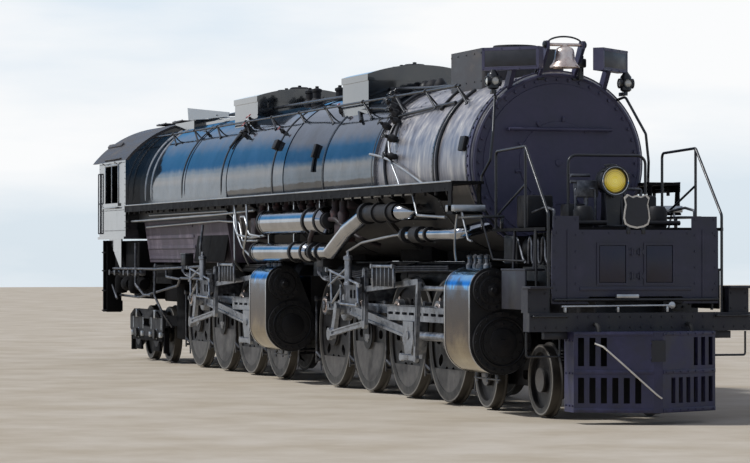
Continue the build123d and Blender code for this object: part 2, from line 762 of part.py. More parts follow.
# Running boards with their brackets, and the hanging step at their front end
BRACKETS = 10
BRACKET_PITCH = 1900
BRACKET_THICK = 30
BRACKET_DROP = 190
BRACKET_FOOT = 200
BOARD_IN = SMOKEBOX_R - 210
STEP = (16690, 16930, 2620)
STEP_WIDTH = 420
STEP_THICK = 30
STEP_LEG = 20
with BuildPart() as running_boards:
    rear = CAB_FRONT + SEAT
    edge = BOARD_WIDTH - BOARD_HALF
    with BuildSketch(level(BOARD_Z - BOARD_THICK)):
        with BuildLine():
            Polyline(*plan((
                (rear, -BOARD_IN), (SMOKEBOX_FRONT - BAND, -BOARD_IN), (SMOKEBOX_FRONT - BAND, edge),
                (BOARD_FRONT, edge), (BOARD_FRONT, -BOARD_HALF), (rear, -BOARD_HALF),
            )), close=True)
        make_face()
    extrude(amount=BOARD_THICK)
    with BuildSketch(across(rear)):
        with Locations((BOARD_THICK / 4 - BOARD_HALF, above(BOARD_Z - BOARD_EDGE / 2))):
            Rectangle(BOARD_THICK / 2, BOARD_EDGE)
    extrude(amount=BOARD_FRONT - rear)
    for i in range(BRACKETS):
        top, low = above(BOARD_Z) - BOARD_THICK / 2, above(BOARD_Z) - BOARD_THICK - BRACKET_DROP
        with BuildSketch(across(rear + (i + 0.5) * BRACKET_PITCH)):
            with BuildLine():
                Polyline(
                    (BOARD_THICK / 2 - BOARD_HALF, top), (-BOARD_IN, top), (-BOARD_IN, low),
                    (-BOARD_IN - BRACKET_FOOT, low), close=True,
                )
            make_face()
        extrude(amount=BRACKET_THICK)
    step_rear, step_front, step_z = STEP
    with BuildSketch(level(step_z - STEP_THICK)):
        with Locations((along((step_rear + step_front) / 2), STEP_WIDTH / 2 - BOARD_HALF)):
            Rectangle(step_front - step_rear, STEP_WIDTH)
    extrude(amount=STEP_THICK)
    for y in (BOARD_HALF, BOARD_HALF - STEP_WIDTH + STEP_LEG):
        with BuildSketch(beside(y - STEP_LEG)):
            with BuildLine():
                Polyline(*side_view((
                    (step_rear + 40, step_z - STEP_LEG), (step_front - 40, step_z - STEP_LEG),
                    (BOARD_FRONT - 20, BOARD_Z - STEP_LEG), (BOARD_FRONT - 120, BOARD_Z - STEP_LEG),
                )), close=True)
            make_face()
        extrude(amount=STEP_LEG)
    add(BOILER_CUT, mode=Mode.SUBTRACT)
    add(front_disc(SEAT), mode=Mode.SUBTRACT)
    mirror(about=Plane.XZ)
save(running_boards.part, "running_boards")

# Handrails along the boiler, on stanchions, and down beside the smokebox front
RAIL_R = 18
RAIL_REACH = JACKET_R + 130
RAIL_ANGLE = 47.8
RAIL_Y = RAIL_REACH * cos(radians(RAIL_ANGLE))
RAIL_Z = BOILER_Z + RAIL_REACH * sin(radians(RAIL_ANGLE))
RAIL_END = 15380
STANCHIONS = (-1400, 300, 2000, 4000, 5700, 7400, 8900, 10900, 12500, 13900, 15250)
STANCHION_R = 13
STANCHION_LENGTH = 500
CORNER_RAIL = (
    # station, distance out, height
    (16400, 820, 4120), (16650, 930, 4180), (17000, 1080, 3670), (17000, 1120, 3300),
    (BOARD_FRONT - 60, 1180, 3100), (BOARD_FRONT - 60, 1180, BOARD_Z + SEAT),
)
with BuildPart() as boiler_handrails:
    add(pipe([(along(s), -RAIL_Y, above(RAIL_Z)) for s in (CAB_FRONT + SEAT, RAIL_END)], 0, RAIL_R))
    outward = Vector(0, -RAIL_Y, RAIL_Z - BOILER_Z).normalized()
    for s in STANCHIONS:
        with BuildSketch(Plane(origin=(along(s), -RAIL_Y, above(RAIL_Z)), x_dir=(1, 0, 0), z_dir=outward)):
            Circle(STANCHION_R)
        extrude(amount=-STANCHION_LENGTH)
    add(pipe([(along(s), -y, above(z)) for s, y, z in CORNER_RAIL], 60, RAIL_R))
    add(BOILER_CUT, mode=Mode.SUBTRACT)
    add(front_disc(SEAT), mode=Mode.SUBTRACT)
    mirror(about=Plane.XZ)
save(boiler_handrails.part, "boiler_handrails")


# Cab

def roof_arc(drop):
    """The roof's arch, or one a given distance inside it, as its radius and its centre's height."""
    rise = ROOF_Z - EAVE_Z
    radius = (CAB_HALF**2 + rise**2) / (2 * rise)
    return radius - drop, above(ROOF_Z) - radius


def roof_section(drop):
    """Adds the roof's round outline down to the eaves to the sketch that is open."""
    radius, centre_z = roof_arc(drop)
    with Locations((0, centre_z)):
        Circle(radius)
    with Locations((0, above(EAVE_Z) - 2 * radius)):
        Rectangle(4 * radius, 4 * radius, mode=Mode.SUBTRACT)


with BuildPart() as cab_roof:
    with BuildSketch(across(ROOF_REAR)):
        roof_section(0)
        radius, centre_z = roof_arc(CAB_WALL)
        with Locations((0, centre_z)):
            Circle(radius, mode=Mode.SUBTRACT)
    extrude(amount=CAB_FRONT - ROOF_REAR)
save(cab_roof.part, "cab_roof")

DOORWAY = (900, 1900)


def cab_bulkhead(station, doorway):
    """A wall across the cab, from the floor up to the roof's underside."""
    floor = CAB_FLOOR_Z + CAB_FLOOR + SEAT
    with BuildPart() as wall:
        with BuildSketch(across(station)):
            roof_section(CAB_WALL + SEAT)
            with Locations((0, above((EAVE_Z + floor) / 2))):
                Rectangle(2 * (CAB_HALF - CAB_WALL - SEAT), EAVE_Z - floor)
            if doorway:
                with Locations((0, above(floor + (doorway[1] - 100) / 2))):
                    Rectangle(*doorway, mode=Mode.SUBTRACT)
        extrude(amount=CAB_WALL)
        add(BOILER_CUT, mode=Mode.SUBTRACT)
    return wall.part


save(cab_bulkhead(CAB_FRONT - CAB_WALL, None), "cab_front")
save(cab_bulkhead(CAB_REAR, DOORWAY), "cab_back")

WINDOW_SILL, WINDOW_TOP = 3090, EAVE_Z - 90
WINDOW_REAR, WINDOW_FRONT = CAB_REAR + 620, CAB_FRONT - 650
WINDOW_CORNER = 60
ARMREST = 35
ARMREST_HEIGHT = 60
ARMREST_BEYOND = 100
with BuildPart() as cab_sides:
    window_x = along((WINDOW_REAR + WINDOW_FRONT) / 2)
    with BuildSketch(beside(CAB_HALF - CAB_WALL)):
        with Locations((along((CAB_FRONT + CAB_REAR) / 2), above((EAVE_Z - SEAT + CAB_FLOOR_Z) / 2))):
            Rectangle(CAB_FRONT - CAB_REAR, EAVE_Z - SEAT - CAB_FLOOR_Z)
        with Locations((window_x, above((WINDOW_SILL + WINDOW_TOP) / 2))):
            RectangleRounded(
                WINDOW_FRONT - WINDOW_REAR, WINDOW_TOP - WINDOW_SILL, WINDOW_CORNER, mode=Mode.SUBTRACT
            )
    extrude(amount=CAB_WALL)
    with BuildSketch(beside(CAB_HALF)):
        with Locations((window_x, above(WINDOW_SILL) - ARMREST_HEIGHT / 2)):
            Rectangle(WINDOW_FRONT - WINDOW_REAR + 2 * ARMREST_BEYOND, ARMREST_HEIGHT)
        with Locations((along((CAB_FRONT + CAB_REAR) / 2), above(CAB_FLOOR_Z) + CAB_WALL / 2)):
            Rectangle(CAB_FRONT - CAB_REAR, CAB_WALL)
    extrude(amount=ARMREST)
for name, piece in (("right", cab_sides.part), ("left", cab_sides.part.mirror(Plane.XZ))):
    save(piece, f"cab_{name}_side")

KNEE = (-4990, -3820, 560)
KNEE_THICK = 30
KNEE_FOOT = 120
with BuildPart() as cab_floor:
    with BuildSketch(level(CAB_FLOOR_Z)):
        with Locations((along((CAB_FRONT + CAB_REAR) / 2), 0)):
            Rectangle(CAB_FRONT - CAB_REAR, 2 * (CAB_HALF - CAB_WALL - SEAT))
    extrude(amount=CAB_FLOOR)
    for side in (1, -1):
        with BuildSketch(Plane.XZ.offset(side * (CAB_HALF - 150) - KNEE_THICK / 2)):
            with BuildLine():
                rear, front, drop = KNEE
                Polyline(*side_view((
                    (rear, CAB_FLOOR_Z + CAB_FLOOR / 2), (front, CAB_FLOOR_Z + CAB_FLOOR / 2),
                    (front, CAB_FLOOR_Z - drop), (front - KNEE_FOOT, CAB_FLOOR_Z - drop),
                )), close=True)
            make_face()
        extrude(amount=KNEE_THICK)
save(cab_floor.part, "cab_floor")

# Beds: the rear one has the hinge's fork ahead and the cradle for the cab behind, the front one the hinge's tongue
BED_TIE = 360
CRADLE_LOW, CRADLE_TOP = 1250, 1700
CRADLE_START = -900
CRADLE_DROP = (300, 400)
DRAWBAR_X, DRAWBAR_R = REAR_END + 220, 60
DRAWBAR_BLOCK = 800
PIVOT_BLOCK = 500
CAB_POST = 120
CAB_POSTS = (CAB_REAR + 250, (CAB_REAR + CAB_FRONT) / 2, CAB_FRONT - 180)
FORK_HALF = 250
FORK_TOP = 1360
FORK_ROOT = (700, 200)
FORK_BEYOND = 200
TONGUE_HALF = 230
TONGUE_BLOCK = 230
TONGUE_END = 8680


def bed(rear, front, axles, ties):
    """Two plates with a pedestal and a bearing at each driving axle, and the ties across them."""
    with BuildPart() as frame:
        with BuildSketch(beside(BED_HALF - BED_PLATE)):
            with Locations((along((rear + front) / 2), above((BED_LOW + BED_TOP) / 2))):
                Rectangle(front - rear, BED_TOP - BED_LOW)
            for s in axles:
                with Locations((along(s), above((PEDESTAL + BED_TOP) / 2))):
                    Rectangle(2 * PEDESTAL_HALF, BED_TOP - PEDESTAL)
            with Locations(*[(along(s), above(DRIVER_R)) for s in axles]):
                Circle(DRIVER_AXLE_R + RUNNING, mode=Mode.SUBTRACT)
        extrude(amount=BED_PLATE)
        mirror(about=Plane.XZ)
        for s in ties:
            with BuildSketch(level(BED_LOW)):
                with Locations((along(s), 0)):
                    Rectangle(BED_TIE, 2 * BED_HALF - BED_PLATE)
            extrude(amount=BED_TOP - BED_LOW)
    return frame.part


def between(axles):
    return [(a + b) / 2 for a, b in zip(axles, axles[1:])]


with BuildPart() as rear_bed:
    bed_end = REAR_CYLINDER + CYLINDER_LENGTH / 2
    add(bed(CRADLE_START, bed_end, REAR_DRIVERS, between(REAR_DRIVERS) + [REAR_CYLINDER]))
    # the fork's two arms start inside its root and end beyond the hinge, and its pin joins them
    root_rear, root_front = bed_end - FORK_ROOT[0], bed_end - FORK_ROOT[1]
    with BuildSketch(beside(-FORK_HALF)):
        for low, high in ((HINGE_LOW, HINGE_EYE[0] - RUNNING), (HINGE_EYE[1] + RUNNING, FORK_TOP)):
            with Locations((along((root_rear + HINGE + FORK_BEYOND) / 2), above((low + high) / 2))):
                Rectangle(HINGE + FORK_BEYOND - root_rear, high - low)
        with Locations((along((root_rear + root_front) / 2), above((HINGE_LOW + BED_TOP) / 2))):
            Rectangle(root_front - root_rear, BED_TOP - HINGE_LOW)
    extrude(amount=2 * FORK_HALF)
    with BuildSketch(level(HINGE_LOW)):
        with Locations((along(HINGE), 0)):
            Circle(HINGE_PIN_R)
    extrude(amount=FORK_TOP - HINGE_LOW)
    # the cradle, with the drawbar's pocket at its rear end
    with BuildSketch(beside(BED_HALF - BED_PLATE)):
        with BuildLine():
            Polyline(*side_view((
                (CRADLE_START, BED_TOP), (CRADLE_START, BED_LOW), (CRADLE_START - CRADLE_DROP[0], CRADLE_LOW),
                (REAR_END, CRADLE_LOW), (REAR_END, CRADLE_TOP), (CRADLE_START - CRADLE_DROP[1], CRADLE_TOP),
            )), close=True)
        make_face()
    extrude(amount=BED_PLATE)
    mirror(about=Plane.XZ)
    with BuildSketch(level(CRADLE_LOW)):
        with Locations((along(REAR_END + DRAWBAR_BLOCK / 2), 0)):
            Rectangle(DRAWBAR_BLOCK, 2 * BED_HALF - BED_PLATE)
        with Locations((along(TRAILING_PIVOT), 0)):
            Rectangle(PIVOT_BLOCK, 2 * BED_HALF - BED_PLATE)
            Circle(TRUCK_PIN_R + RUNNING, mode=Mode.SUBTRACT)
        with Locations((along(DRAWBAR_X), 0)):
            Circle(DRAWBAR_R, mode=Mode.SUBTRACT)
    extrude(amount=CRADLE_TOP - CRADLE_LOW)
    for s in CAB_POSTS:
        with BuildSketch(level(CRADLE_TOP)):
            with Locations((along(s), 0)):
                Rectangle(CAB_POST, 2 * BED_HALF)
        extrude(amount=CAB_FLOOR_Z - SEAT - CRADLE_TOP)
save(rear_bed.part, "rear_bed")

with BuildPart() as rear_cylinders:
    add(cylinder_block(REAR_CYLINDER, BOILER_Z - JACKET_R + SADDLE_TIE))
    add(BOILER_CUT, mode=Mode.SUBTRACT)
save(rear_cylinders.part, "rear_cylinders")

with BuildPart() as front_bed:
    ties = between(FRONT_DRIVERS) + [FRONT_DRIVERS[0] + DRIVER_SPACING / 2, LEADING_PIVOT, BEAM_REAR - BED_TIE]
    add(bed(TONGUE_END - TONGUE_BLOCK, BEAM_REAR - SEAT, FRONT_DRIVERS, ties))
    with BuildSketch(level(BED_LOW)):
        with Locations((along(LEADING_PIVOT), 0)):
            Circle(TRUCK_PIN_R + RUNNING)
    extrude(amount=BED_TOP - BED_LOW, mode=Mode.SUBTRACT)
    with BuildSketch(level(HINGE_EYE[0])):
        with Locations((along(TONGUE_END - TONGUE_BLOCK / 2), 0)):
            Rectangle(TONGUE_BLOCK, 2 * BED_HALF - BED_PLATE)
    extrude(amount=BED_TOP - HINGE_EYE[0])
    with BuildSketch(level(HINGE_EYE[0])):
        with Locations((along((HINGE + TONGUE_END) / 2), 0)):
            Rectangle(TONGUE_END - HINGE, 2 * TONGUE_HALF)
        with Locations((along(HINGE), 0)):
            Circle(TONGUE_HALF)
            Circle(HINGE_PIN_R + RUNNING, mode=Mode.SUBTRACT)
    extrude(amount=HINGE_EYE[1] - HINGE_EYE[0])
save(front_bed.part, "front_bed")

save(cylinder_block(FRONT_CYLINDER, FRONT_SADDLE_TOP), "front_cylinders")

for engine, stations, cylinder in (
    ("rear", REAR_DRIVERS, REAR_CYLINDER),
    ("front", FRONT_DRIVERS, FRONT_CYLINDER),
):
    main = stations[MAIN_AXLE]
    back = cylinder - CYLINDER_LENGTH / 2 - COVER
    with BuildPart() as rods:
        for side, angle in SIDES:
            add(main_rod(main, side, angle))
    save(rods.part, f"{engine}_main_rods")
    with BuildPart() as heads:
        for side, angle in SIDES:
            add(crosshead(main, side, angle, back))
    save(heads.part, f"{engine}_crossheads")
    with BuildPart() as gear:
        for side, angle in SIDES:
            add(valve_gear(main, side, angle, back))
    save(gear.part, f"{engine}_valve_gear")
    save(guides(main, back, back > main + YOKE_STATION + YOKE), f"{engine}_guides")
    save(link_bracket(main), f"{engine}_link_brackets")

# Leading truck, with its frames inside the wheels
TRUCK_PLATE = 110
TRUCK_WINDOW = 700
PIN_TOP = 100
LEADING_PLATE_Y = 430
LEADING_LOW, LEADING_TOP, LEADING_CROWN = 330, 620, 780
LEADING_BEYOND = 265
CROWN_HALF, CROWN_SLOPE = 300, 200
LEADING_WINDOW = 130
BOLSTER = 160
with BuildPart() as leading_truck:
    end = (LEADING_AXLES[1] - LEADING_AXLES[0]) / 2 + LEADING_BEYOND
    slope = CROWN_HALF + CROWN_SLOPE
    with BuildSketch(beside(LEADING_PLATE_Y)):
        with BuildLine():
            Polyline(*side_view([(LEADING_PIVOT + s, h) for s, h in (
                (-end, LEADING_LOW), (-end, LEADING_TOP), (-slope, LEADING_TOP), (-CROWN_HALF, LEADING_CROWN),
                (CROWN_HALF, LEADING_CROWN), (slope, LEADING_TOP), (end, LEADING_TOP), (end, LEADING_LOW),
            )]), close=True)
        make_face()
        with Locations(*[(along(s), above(LEADING_R)) for s in LEADING_AXLES]):
            Circle(TRUCK_AXLE_R + RUNNING, mode=Mode.SUBTRACT)
        with Locations((along(LEADING_PIVOT), above((LEADING_LOW + LEADING_TOP) / 2))):
            SlotOverall(TRUCK_WINDOW, LEADING_WINDOW, mode=Mode.SUBTRACT)
    extrude(amount=TRUCK_PLATE)
    mirror(about=Plane.XZ)
    with BuildSketch(level(LEADING_CROWN - BOLSTER)):
        with Locations((along(LEADING_PIVOT), 0)):
            Rectangle(2 * CROWN_HALF, 2 * LEADING_PLATE_Y)
    extrude(amount=BOLSTER)
    for radius, top in ((2.5 * TRUCK_PIN_R, BED_LOW - SEAT), (TRUCK_PIN_R, BED_TOP - PIN_TOP)):
        with BuildSketch(level(LEADING_CROWN)):
            with Locations((along(LEADING_PIVOT), 0)):
                Circle(radius)
        extrude(amount=top - LEADING_CROWN)
save(leading_truck.part, "leading_truck")

# Trailing truck, with its frames and journals outside the wheels and a drawn-in tongue to its pivot
TRAILING_PLATE_Y = 960
TRAILING_LOW, TRAILING_TOP = 480, 1000
TRAILING_ENDS = (715, 560)
END_SLOPES = (350, 200)
END_LOW, END_TOP = 600, 880
TRAILING_WINDOW = 160
PEDESTAL_R = 250
TRUCK_BEAM = 110
TRUCK_BEAM_LOW, TRUCK_BEAM_TOP = 700, 900
TONGUE_TIP = 160
with BuildPart() as trailing_truck:
    rear, front = TRAILING_AXLES
    tail, head = rear - TRAILING_ENDS[0], front + TRAILING_ENDS[1]
    with BuildSketch(beside(TRAILING_PLATE_Y)):
        with BuildLine():
            Polyline(*side_view((
                (tail, END_LOW), (tail, END_TOP), (tail + END_SLOPES[0], TRAILING_TOP),
                (head - END_SLOPES[1], TRAILING_TOP), (head, END_TOP), (head, END_LOW),
                (head - END_SLOPES[1], TRAILING_LOW), (tail + END_SLOPES[0], TRAILING_LOW),
            )), close=True)
        make_face()
        with Locations(*[(along(s), above(TRAILING_R)) for s in TRAILING_AXLES]):
            Circle(PEDESTAL_R)
        with Locations(*[(along(s), above(TRAILING_R)) for s in TRAILING_AXLES]):
            Circle(TRUCK_AXLE_R + RUNNING, mode=Mode.SUBTRACT)
        with Locations((along((rear + front) / 2), above((TRAILING_LOW + TRAILING_TOP) / 2))):
            SlotOverall(TRUCK_WINDOW, TRAILING_WINDOW, mode=Mode.SUBTRACT)
    extrude(amount=TRUCK_PLATE)
    mirror(about=Plane.XZ)
    for s in ((rear + front) / 2, tail + TRUCK_BEAM / 2):
        with BuildSketch(level(TRUCK_BEAM_LOW)):
            with Locations((along(s), 0)):
                Rectangle(TRUCK_BEAM, 2 * TRAILING_PLATE_Y + TRUCK_PLATE)
        extrude(amount=TRUCK_BEAM_TOP - TRUCK_BEAM_LOW)
    with BuildSketch(level(TRUCK_BEAM_LOW)):
        with BuildLine():
            reach = TRAILING_PLATE_Y + TRUCK_PLATE / 2
            tip = TRAILING_PIVOT + TRUCK_PIN_R
            Polyline(*plan((
                (head, -reach), (head, reach), (head + TRUCK_BEAM, reach), (tip, TONGUE_TIP), (tip, -TONGUE_TIP),
                (head + TRUCK_BEAM, -reach),
            )), close=True)
        make_face()
    extrude(amount=TRUCK_BEAM_TOP - TRUCK_BEAM_LOW)
    for radius, top in ((2 * TRUCK_PIN_R, CRADLE_LOW - SEAT), (TRUCK_PIN_R, CRADLE_TOP - PIN_TOP)):
        with BuildSketch(level(TRUCK_BEAM_LOW)):
            with Locations((along(TRAILING_PIVOT), 0)):
                Circle(radius)
        extrude(amount=top - TRUCK_BEAM_LOW)
save(trailing_truck.part, "trailing_truck")

# Coolers under the running boards, hung from them by straps
TANK_Y = BOARD_HALF - 190
TANKS = (
    # rear, front, radius, height
    (7040, 10560, 200, 2585),
    (6420, 9630, 150, 2110),
)
TANK_END = 60
TANK_BAND = 10
TANK_BANDS_IN = 200
STRAP = (40, 100)
STRAPS = (
    # station, which tank it carries
    (7300, 1), (8800, 1), (10250, 0),
)
with BuildPart() as coolers:
    for rear, front, radius, z in TANKS:
        centre = Vector(along(rear), -TANK_Y, above(z))
        length = front - rear
        with BuildSketch(Plane(origin=centre, x_dir=(1, 0, 0), z_dir=(0, -1, 0))):
            with BuildLine():
                Polyline(
                    (0, 0), (0, 0.7 * radius), (TANK_END, radius), (length - TANK_END, radius), (length, 0.7 * radius),
                    (length, 0), close=True,
                )
            make_face()
            for band in (TANK_BANDS_IN, length - TANK_BANDS_IN):
                with Locations((band, (radius + TANK_BAND) / 2)):
                    Rectangle(TANK_END, radius + TANK_BAND)
        revolve(axis=Axis(centre, (1, 0, 0)))
    for s, tank in STRAPS:
        low = TANKS[tank][3]
        with BuildSketch(level(low)):
            with Locations((along(s), -TANK_Y)):
                Rectangle(*STRAP)
        extrude(amount=BOARD_Z - BOARD_THICK - SEAT - low)
    mirror(about=Plane.XZ)
save(coolers.part, "coolers")

# Polished pipes from the lower coolers to the smokebox, and the long ones below the boards' front ends
STEAM_R = 115
FEED_R = 85
PIPE_Y = BOARD_HALF - 150
PIPE_END_Y = SMOKEBOX_R - 300
STEAM_ROUTE = (
    # station, distance out, height
    (TANKS[1][1] + SEAT, TANK_Y, TANKS[1][3]), (10700, TANK_Y, TANKS[1][3]), (11700, PIPE_Y, 2430),
    (12700, PIPE_Y, 2660), (14300, PIPE_Y, 2660), (14300, PIPE_END_Y, 2660),
)
FEED_ROUTE = (
    (13900, PIPE_END_Y, 2340), (13900, PIPE_Y - 120, 2340), (16400, PIPE_Y - 120, 2340), (16400, PIPE_END_Y, 2460),
)
with BuildPart() as steam_pipes:
    for route, bend, radius in ((STEAM_ROUTE, 200, STEAM_R), (FEED_ROUTE, 150, FEED_R)):
        add(pipe([(along(s), -y, above(z)) for s, y, z in route], bend, radius))
    add(BOILER_CUT, mode=Mode.SUBTRACT)
    mirror(about=Plane.XZ)
save(steam_pipes.part, "steam_pipes")

# Number boards on brackets, turned out at 45 degrees
NUMBER_BOARD = (16750, 750, BOILER_Z + SMOKEBOX_R + 160)
BOARD_FACE = (830, 300)
FACE_RIM = 30
FACE_DEPTH = 12
BOX_DEPTH = 150
BOARD_BRACKET = (
    # station and height from the board's middle
    (-480, -480), (-300, -480), (20, -60), (-130, -30),
)
with BuildPart() as number_boards:
    s, y, z = NUMBER_BOARD
    face = Plane(origin=(along(s), -y, above(z)), x_dir=(1, 1, 0), z_dir=(1, -1, 0))
    with BuildSketch(beside(y - 105)):
        with BuildLine():
            Polyline(*side_view([(s + ahead, z + up) for ahead, up in BOARD_BRACKET]), close=True)
        make_face()
    extrude(amount=60)
    with BuildSketch(face):
        Rectangle(*BOARD_FACE)
    extrude(amount=-BOX_DEPTH)
    with BuildSketch(face):
        Rectangle(BOARD_FACE[0] - 2 * FACE_RIM, BOARD_FACE[1] - 2 * FACE_RIM)
    extrude(amount=-FACE_DEPTH, mode=Mode.SUBTRACT)
    add(BOILER_CUT, mode=Mode.SUBTRACT)
    add(front_disc(SEAT), mode=Mode.SUBTRACT)
    mirror(about=Plane.XZ)
save(number_boards.part, "number_boards")

# Bell on its stand
BELL_X = 16800
BELL_MOUTH = BOILER_Z + SMOKEBOX_R + 40
BELL_TOP = BELL_MOUTH + 310
BELL_R = 200
TRUNNION_R = 25
TRUNNION = 230
STAND = 40
STAND_FOOT = BOILER_Z + SMOKEBOX_R - 100
with BuildPart() as bell:
    with BuildSketch(Plane(origin=(along(BELL_X), 0, 0), x_dir=(1, 0, 0), z_dir=(0, -1, 0))):
        with BuildLine():
            lip = Polyline((0, above(BELL_MOUTH + 60)), (BELL_R - 30, above(BELL_MOUTH)), (BELL_R, above(BELL_MOUTH)))
            waist = Spline(lip @ 1, (0.66 * BELL_R, above(BELL_MOUTH + 110)), (0.52 * BELL_R, above(BELL_TOP - 80)))
            Polyline(waist @ 1, (0.3 * BELL_R, above(BELL_TOP)), (0, above(BELL_TOP)), lip @ 0)
        make_face()
    revolve(axis=Axis((along(BELL_X), 0, 0), (0, 0, 1)))
    with BuildSketch(Plane.XZ.offset(-TRUNNION)):
        with Locations((along(BELL_X), above(BELL_TOP))):
            Circle(TRUNNION_R)
    extrude(amount=2 * TRUNNION)
save(bell.part, "bell")

with BuildPart() as bell_stand:
    for side in (-1, 1):
        with BuildSketch(Plane.XZ.offset(-side * (TRUNNION + STAND / 2) - STAND / 2)):
            with BuildLine():
                Polyline(*side_view((
                    (BELL_X - 60, BELL_TOP + 50), (BELL_X + 60, BELL_TOP + 50), (BELL_X + 60, BELL_TOP - 60),
                    (SMOKEBOX_FRONT - 20, STAND_FOOT), (SMOKEBOX_FRONT - 140, STAND_FOOT),
                )), close=True)
            make_face()
            with Locations((along(BELL_X), above(BELL_TOP))):
                Circle(TRUNNION_R + RUNNING, mode=Mode.SUBTRACT)
        extrude(amount=STAND)
    with BuildSketch(level(STAND_FOOT)):
        with Locations((along(SMOKEBOX_FRONT - 80), 0)):
            Rectangle(2 * STAND, 2 * (TRUNNION + STAND))
    extrude(amount=1.5 * STAND)
    add(BOILER_CUT, mode=Mode.SUBTRACT)
    add(front_disc(SEAT), mode=Mode.SUBTRACT)
save(bell_stand.part, "bell_stand")

# Front deck on its posts, with the air pumps hung under it
DECK_REAR = 17300
DECK_HALF = 1200
DECK_THICK = 40
DECK_POSTS = (17720, 18420, 19120)
DECK_POST = 80
SHIELD_THICK = 25
SHIELD_HALF = 1117
DECK_FRONT = SHIELD_X - SHIELD_THICK - SEAT
with BuildPart() as front_deck:
    with BuildSketch(level(DECK_Z - DECK_THICK)):
        with Locations((along((DECK_REAR + DECK_FRONT) / 2), 0)):
            Rectangle(DECK_FRONT - DECK_REAR, 2 * DECK_HALF)
    extrude(amount=DECK_THICK)
    for s in DECK_POSTS:
        with BuildSketch(level(BED_TOP + SEAT)):
            with Locations((along(s), 0)):
                Rectangle(DECK_POST, 2 * BED_HALF)
        extrude(amount=DECK_Z - DECK_THICK - BED_TOP)
save(front_deck.part, "front_deck")

PUMP_X, PUMP_Y = 18850, 820
PUMP_HANGER_R = 120
PUMP_ROUNDS = (
    # radius, low, high
    (130, 1480, 1520), (190, 1500, 1880), (110, 1870, 1970), (225, 1940, 1980), (205, 1960, 2300), (225, 2280, 2320),
    (PUMP_HANGER_R, 2300, DECK_Z - DECK_THICK - SEAT),
)
with BuildPart() as air_pumps:
    centre = Vector(along(PUMP_X), -PUMP_Y, 0)
    with BuildSketch(Plane(origin=centre, x_dir=(1, 0, 0), z_dir=(0, -1, 0))):
        for radius, low, high in PUMP_ROUNDS:
            with Locations((radius / 2, above((low + high) / 2))):
                Rectangle(radius, high - low)
    revolve(axis=Axis(centre, (0, 0, 1)))
    mirror(about=Plane.XZ)
save(air_pumps.part, "air_pumps")

# Shield in front of the pumps, with two hinged panels set back in their frames
SHIELD_LOW, SHIELD_TOP = 1450, DECK_Z - 30
HORN_Y, HORN_WIDTH, HORN_RISE = 930, 340, 170
SHIELD_SLOT = (1300, 90)
PANEL_Y, PANEL_Z = 315, 1945
PANEL = (360, 470)
PANEL_FRAME = 30
PANEL_BACK = 15
FRAME_RISE = 12
HINGE_LEAF = (90, 60)
HINGES = (-150, 150)
FOLD_Y, FOLD = 907, 24
with BuildPart() as shield:
    middle = above((SHIELD_LOW + SHIELD_TOP) / 2)
    with BuildSketch(across(SHIELD_X - SHIELD_THICK)):
        with Locations((0, middle)):
            Rectangle(2 * SHIELD_HALF, SHIELD_TOP - SHIELD_LOW)
        with Locations(*[(side * HORN_Y, above(SHIELD_TOP + HORN_RISE / 2)) for side in (-1, 1)]):
            Rectangle(HORN_WIDTH, HORN_RISE)
        with Locations((0, above(SHIELD_LOW) + SHIELD_SLOT[1] / 2)):
            SlotOverall(*SHIELD_SLOT, mode=Mode.SUBTRACT)
        with Locations(*[(side * PANEL_Y, above(PANEL_Z)) for side in (-1, 1)]):
            Rectangle(*PANEL, mode=Mode.SUBTRACT)
    extrude(amount=SHIELD_THICK)
    width, height = [size + 2 * PANEL_FRAME for size in PANEL]
    for side in (-1, 1):
        with BuildSketch(across(SHIELD_X - SHIELD_THICK)):
            with Locations((side * PANEL_Y, above(PANEL_Z))):
                Rectangle(width, height)
        extrude(amount=-PANEL_BACK)
        with BuildSketch(across(SHIELD_X)):
            with Locations((side * PANEL_Y, above(PANEL_Z))):
                Rectangle(width, height)
                Rectangle(*PANEL, mode=Mode.SUBTRACT)
            with Locations(*[(side * (PANEL_Y - (width + HINGE_LEAF[0]) / 2), above(PANEL_Z + z)) for z in HINGES]):
                Rectangle(*HINGE_LEAF)
            with Locations((side * FOLD_Y, middle)):
                Rectangle(FOLD, SHIELD_TOP - SHIELD_LOW)
        extrude(amount=FRAME_RISE)
save(shield.part, "shield")

# Pilot beam with a step box at each end
STEP_BOX = (270, 300)
STEP_BOX_REAR, STEP_BOX_FRONT = BEAM_FRONT - 290, BEAM_FRONT - 60
with BuildPart() as pilot_beam:
    with BuildSketch(across(BEAM_REAR)):
        with Locations((0, above((BEAM_LOW + BEAM_TOP) / 2))):
            Rectangle(2 * BEAM_HALF, BEAM_TOP - BEAM_LOW)
    extrude(amount=BEAM_FRONT - BEAM_REAR)
    box_width, box_height = STEP_BOX
    with BuildSketch(across(STEP_BOX_REAR)):
        with Locations(*[(side * (BEAM_HALF - box_width / 2), above(BEAM_TOP) + box_height / 2) for side in (-1, 1)]):
            Rectangle(*STEP_BOX)
    extrude(amount=STEP_BOX_FRONT - STEP_BOX_REAR)
save(pilot_beam.part, "pilot_beam")

# Pilot: a plough in plan, slotted like a grate, with the folded coupler in its nose
NOSE = FRONT_END - 15
NOSE_HALF = 60
SHOULDER = 19560
PILOT_REAR = BEAM_REAR + 20
PILOT_HALF = 945
PILOT_LOW = 120
PILOT_SKIN = 55
PILOT_ROOF = 40
SLOTS = (
    # low, high, how many in each face
    (235, 550, 6),
    (690, 1040, 3),
)
SLOT_FIRST, SLOT_WIDTH, SLOT_PITCH = 90, 75, 140
COUPLER_Z = 880
COUPLER = (180, 260)


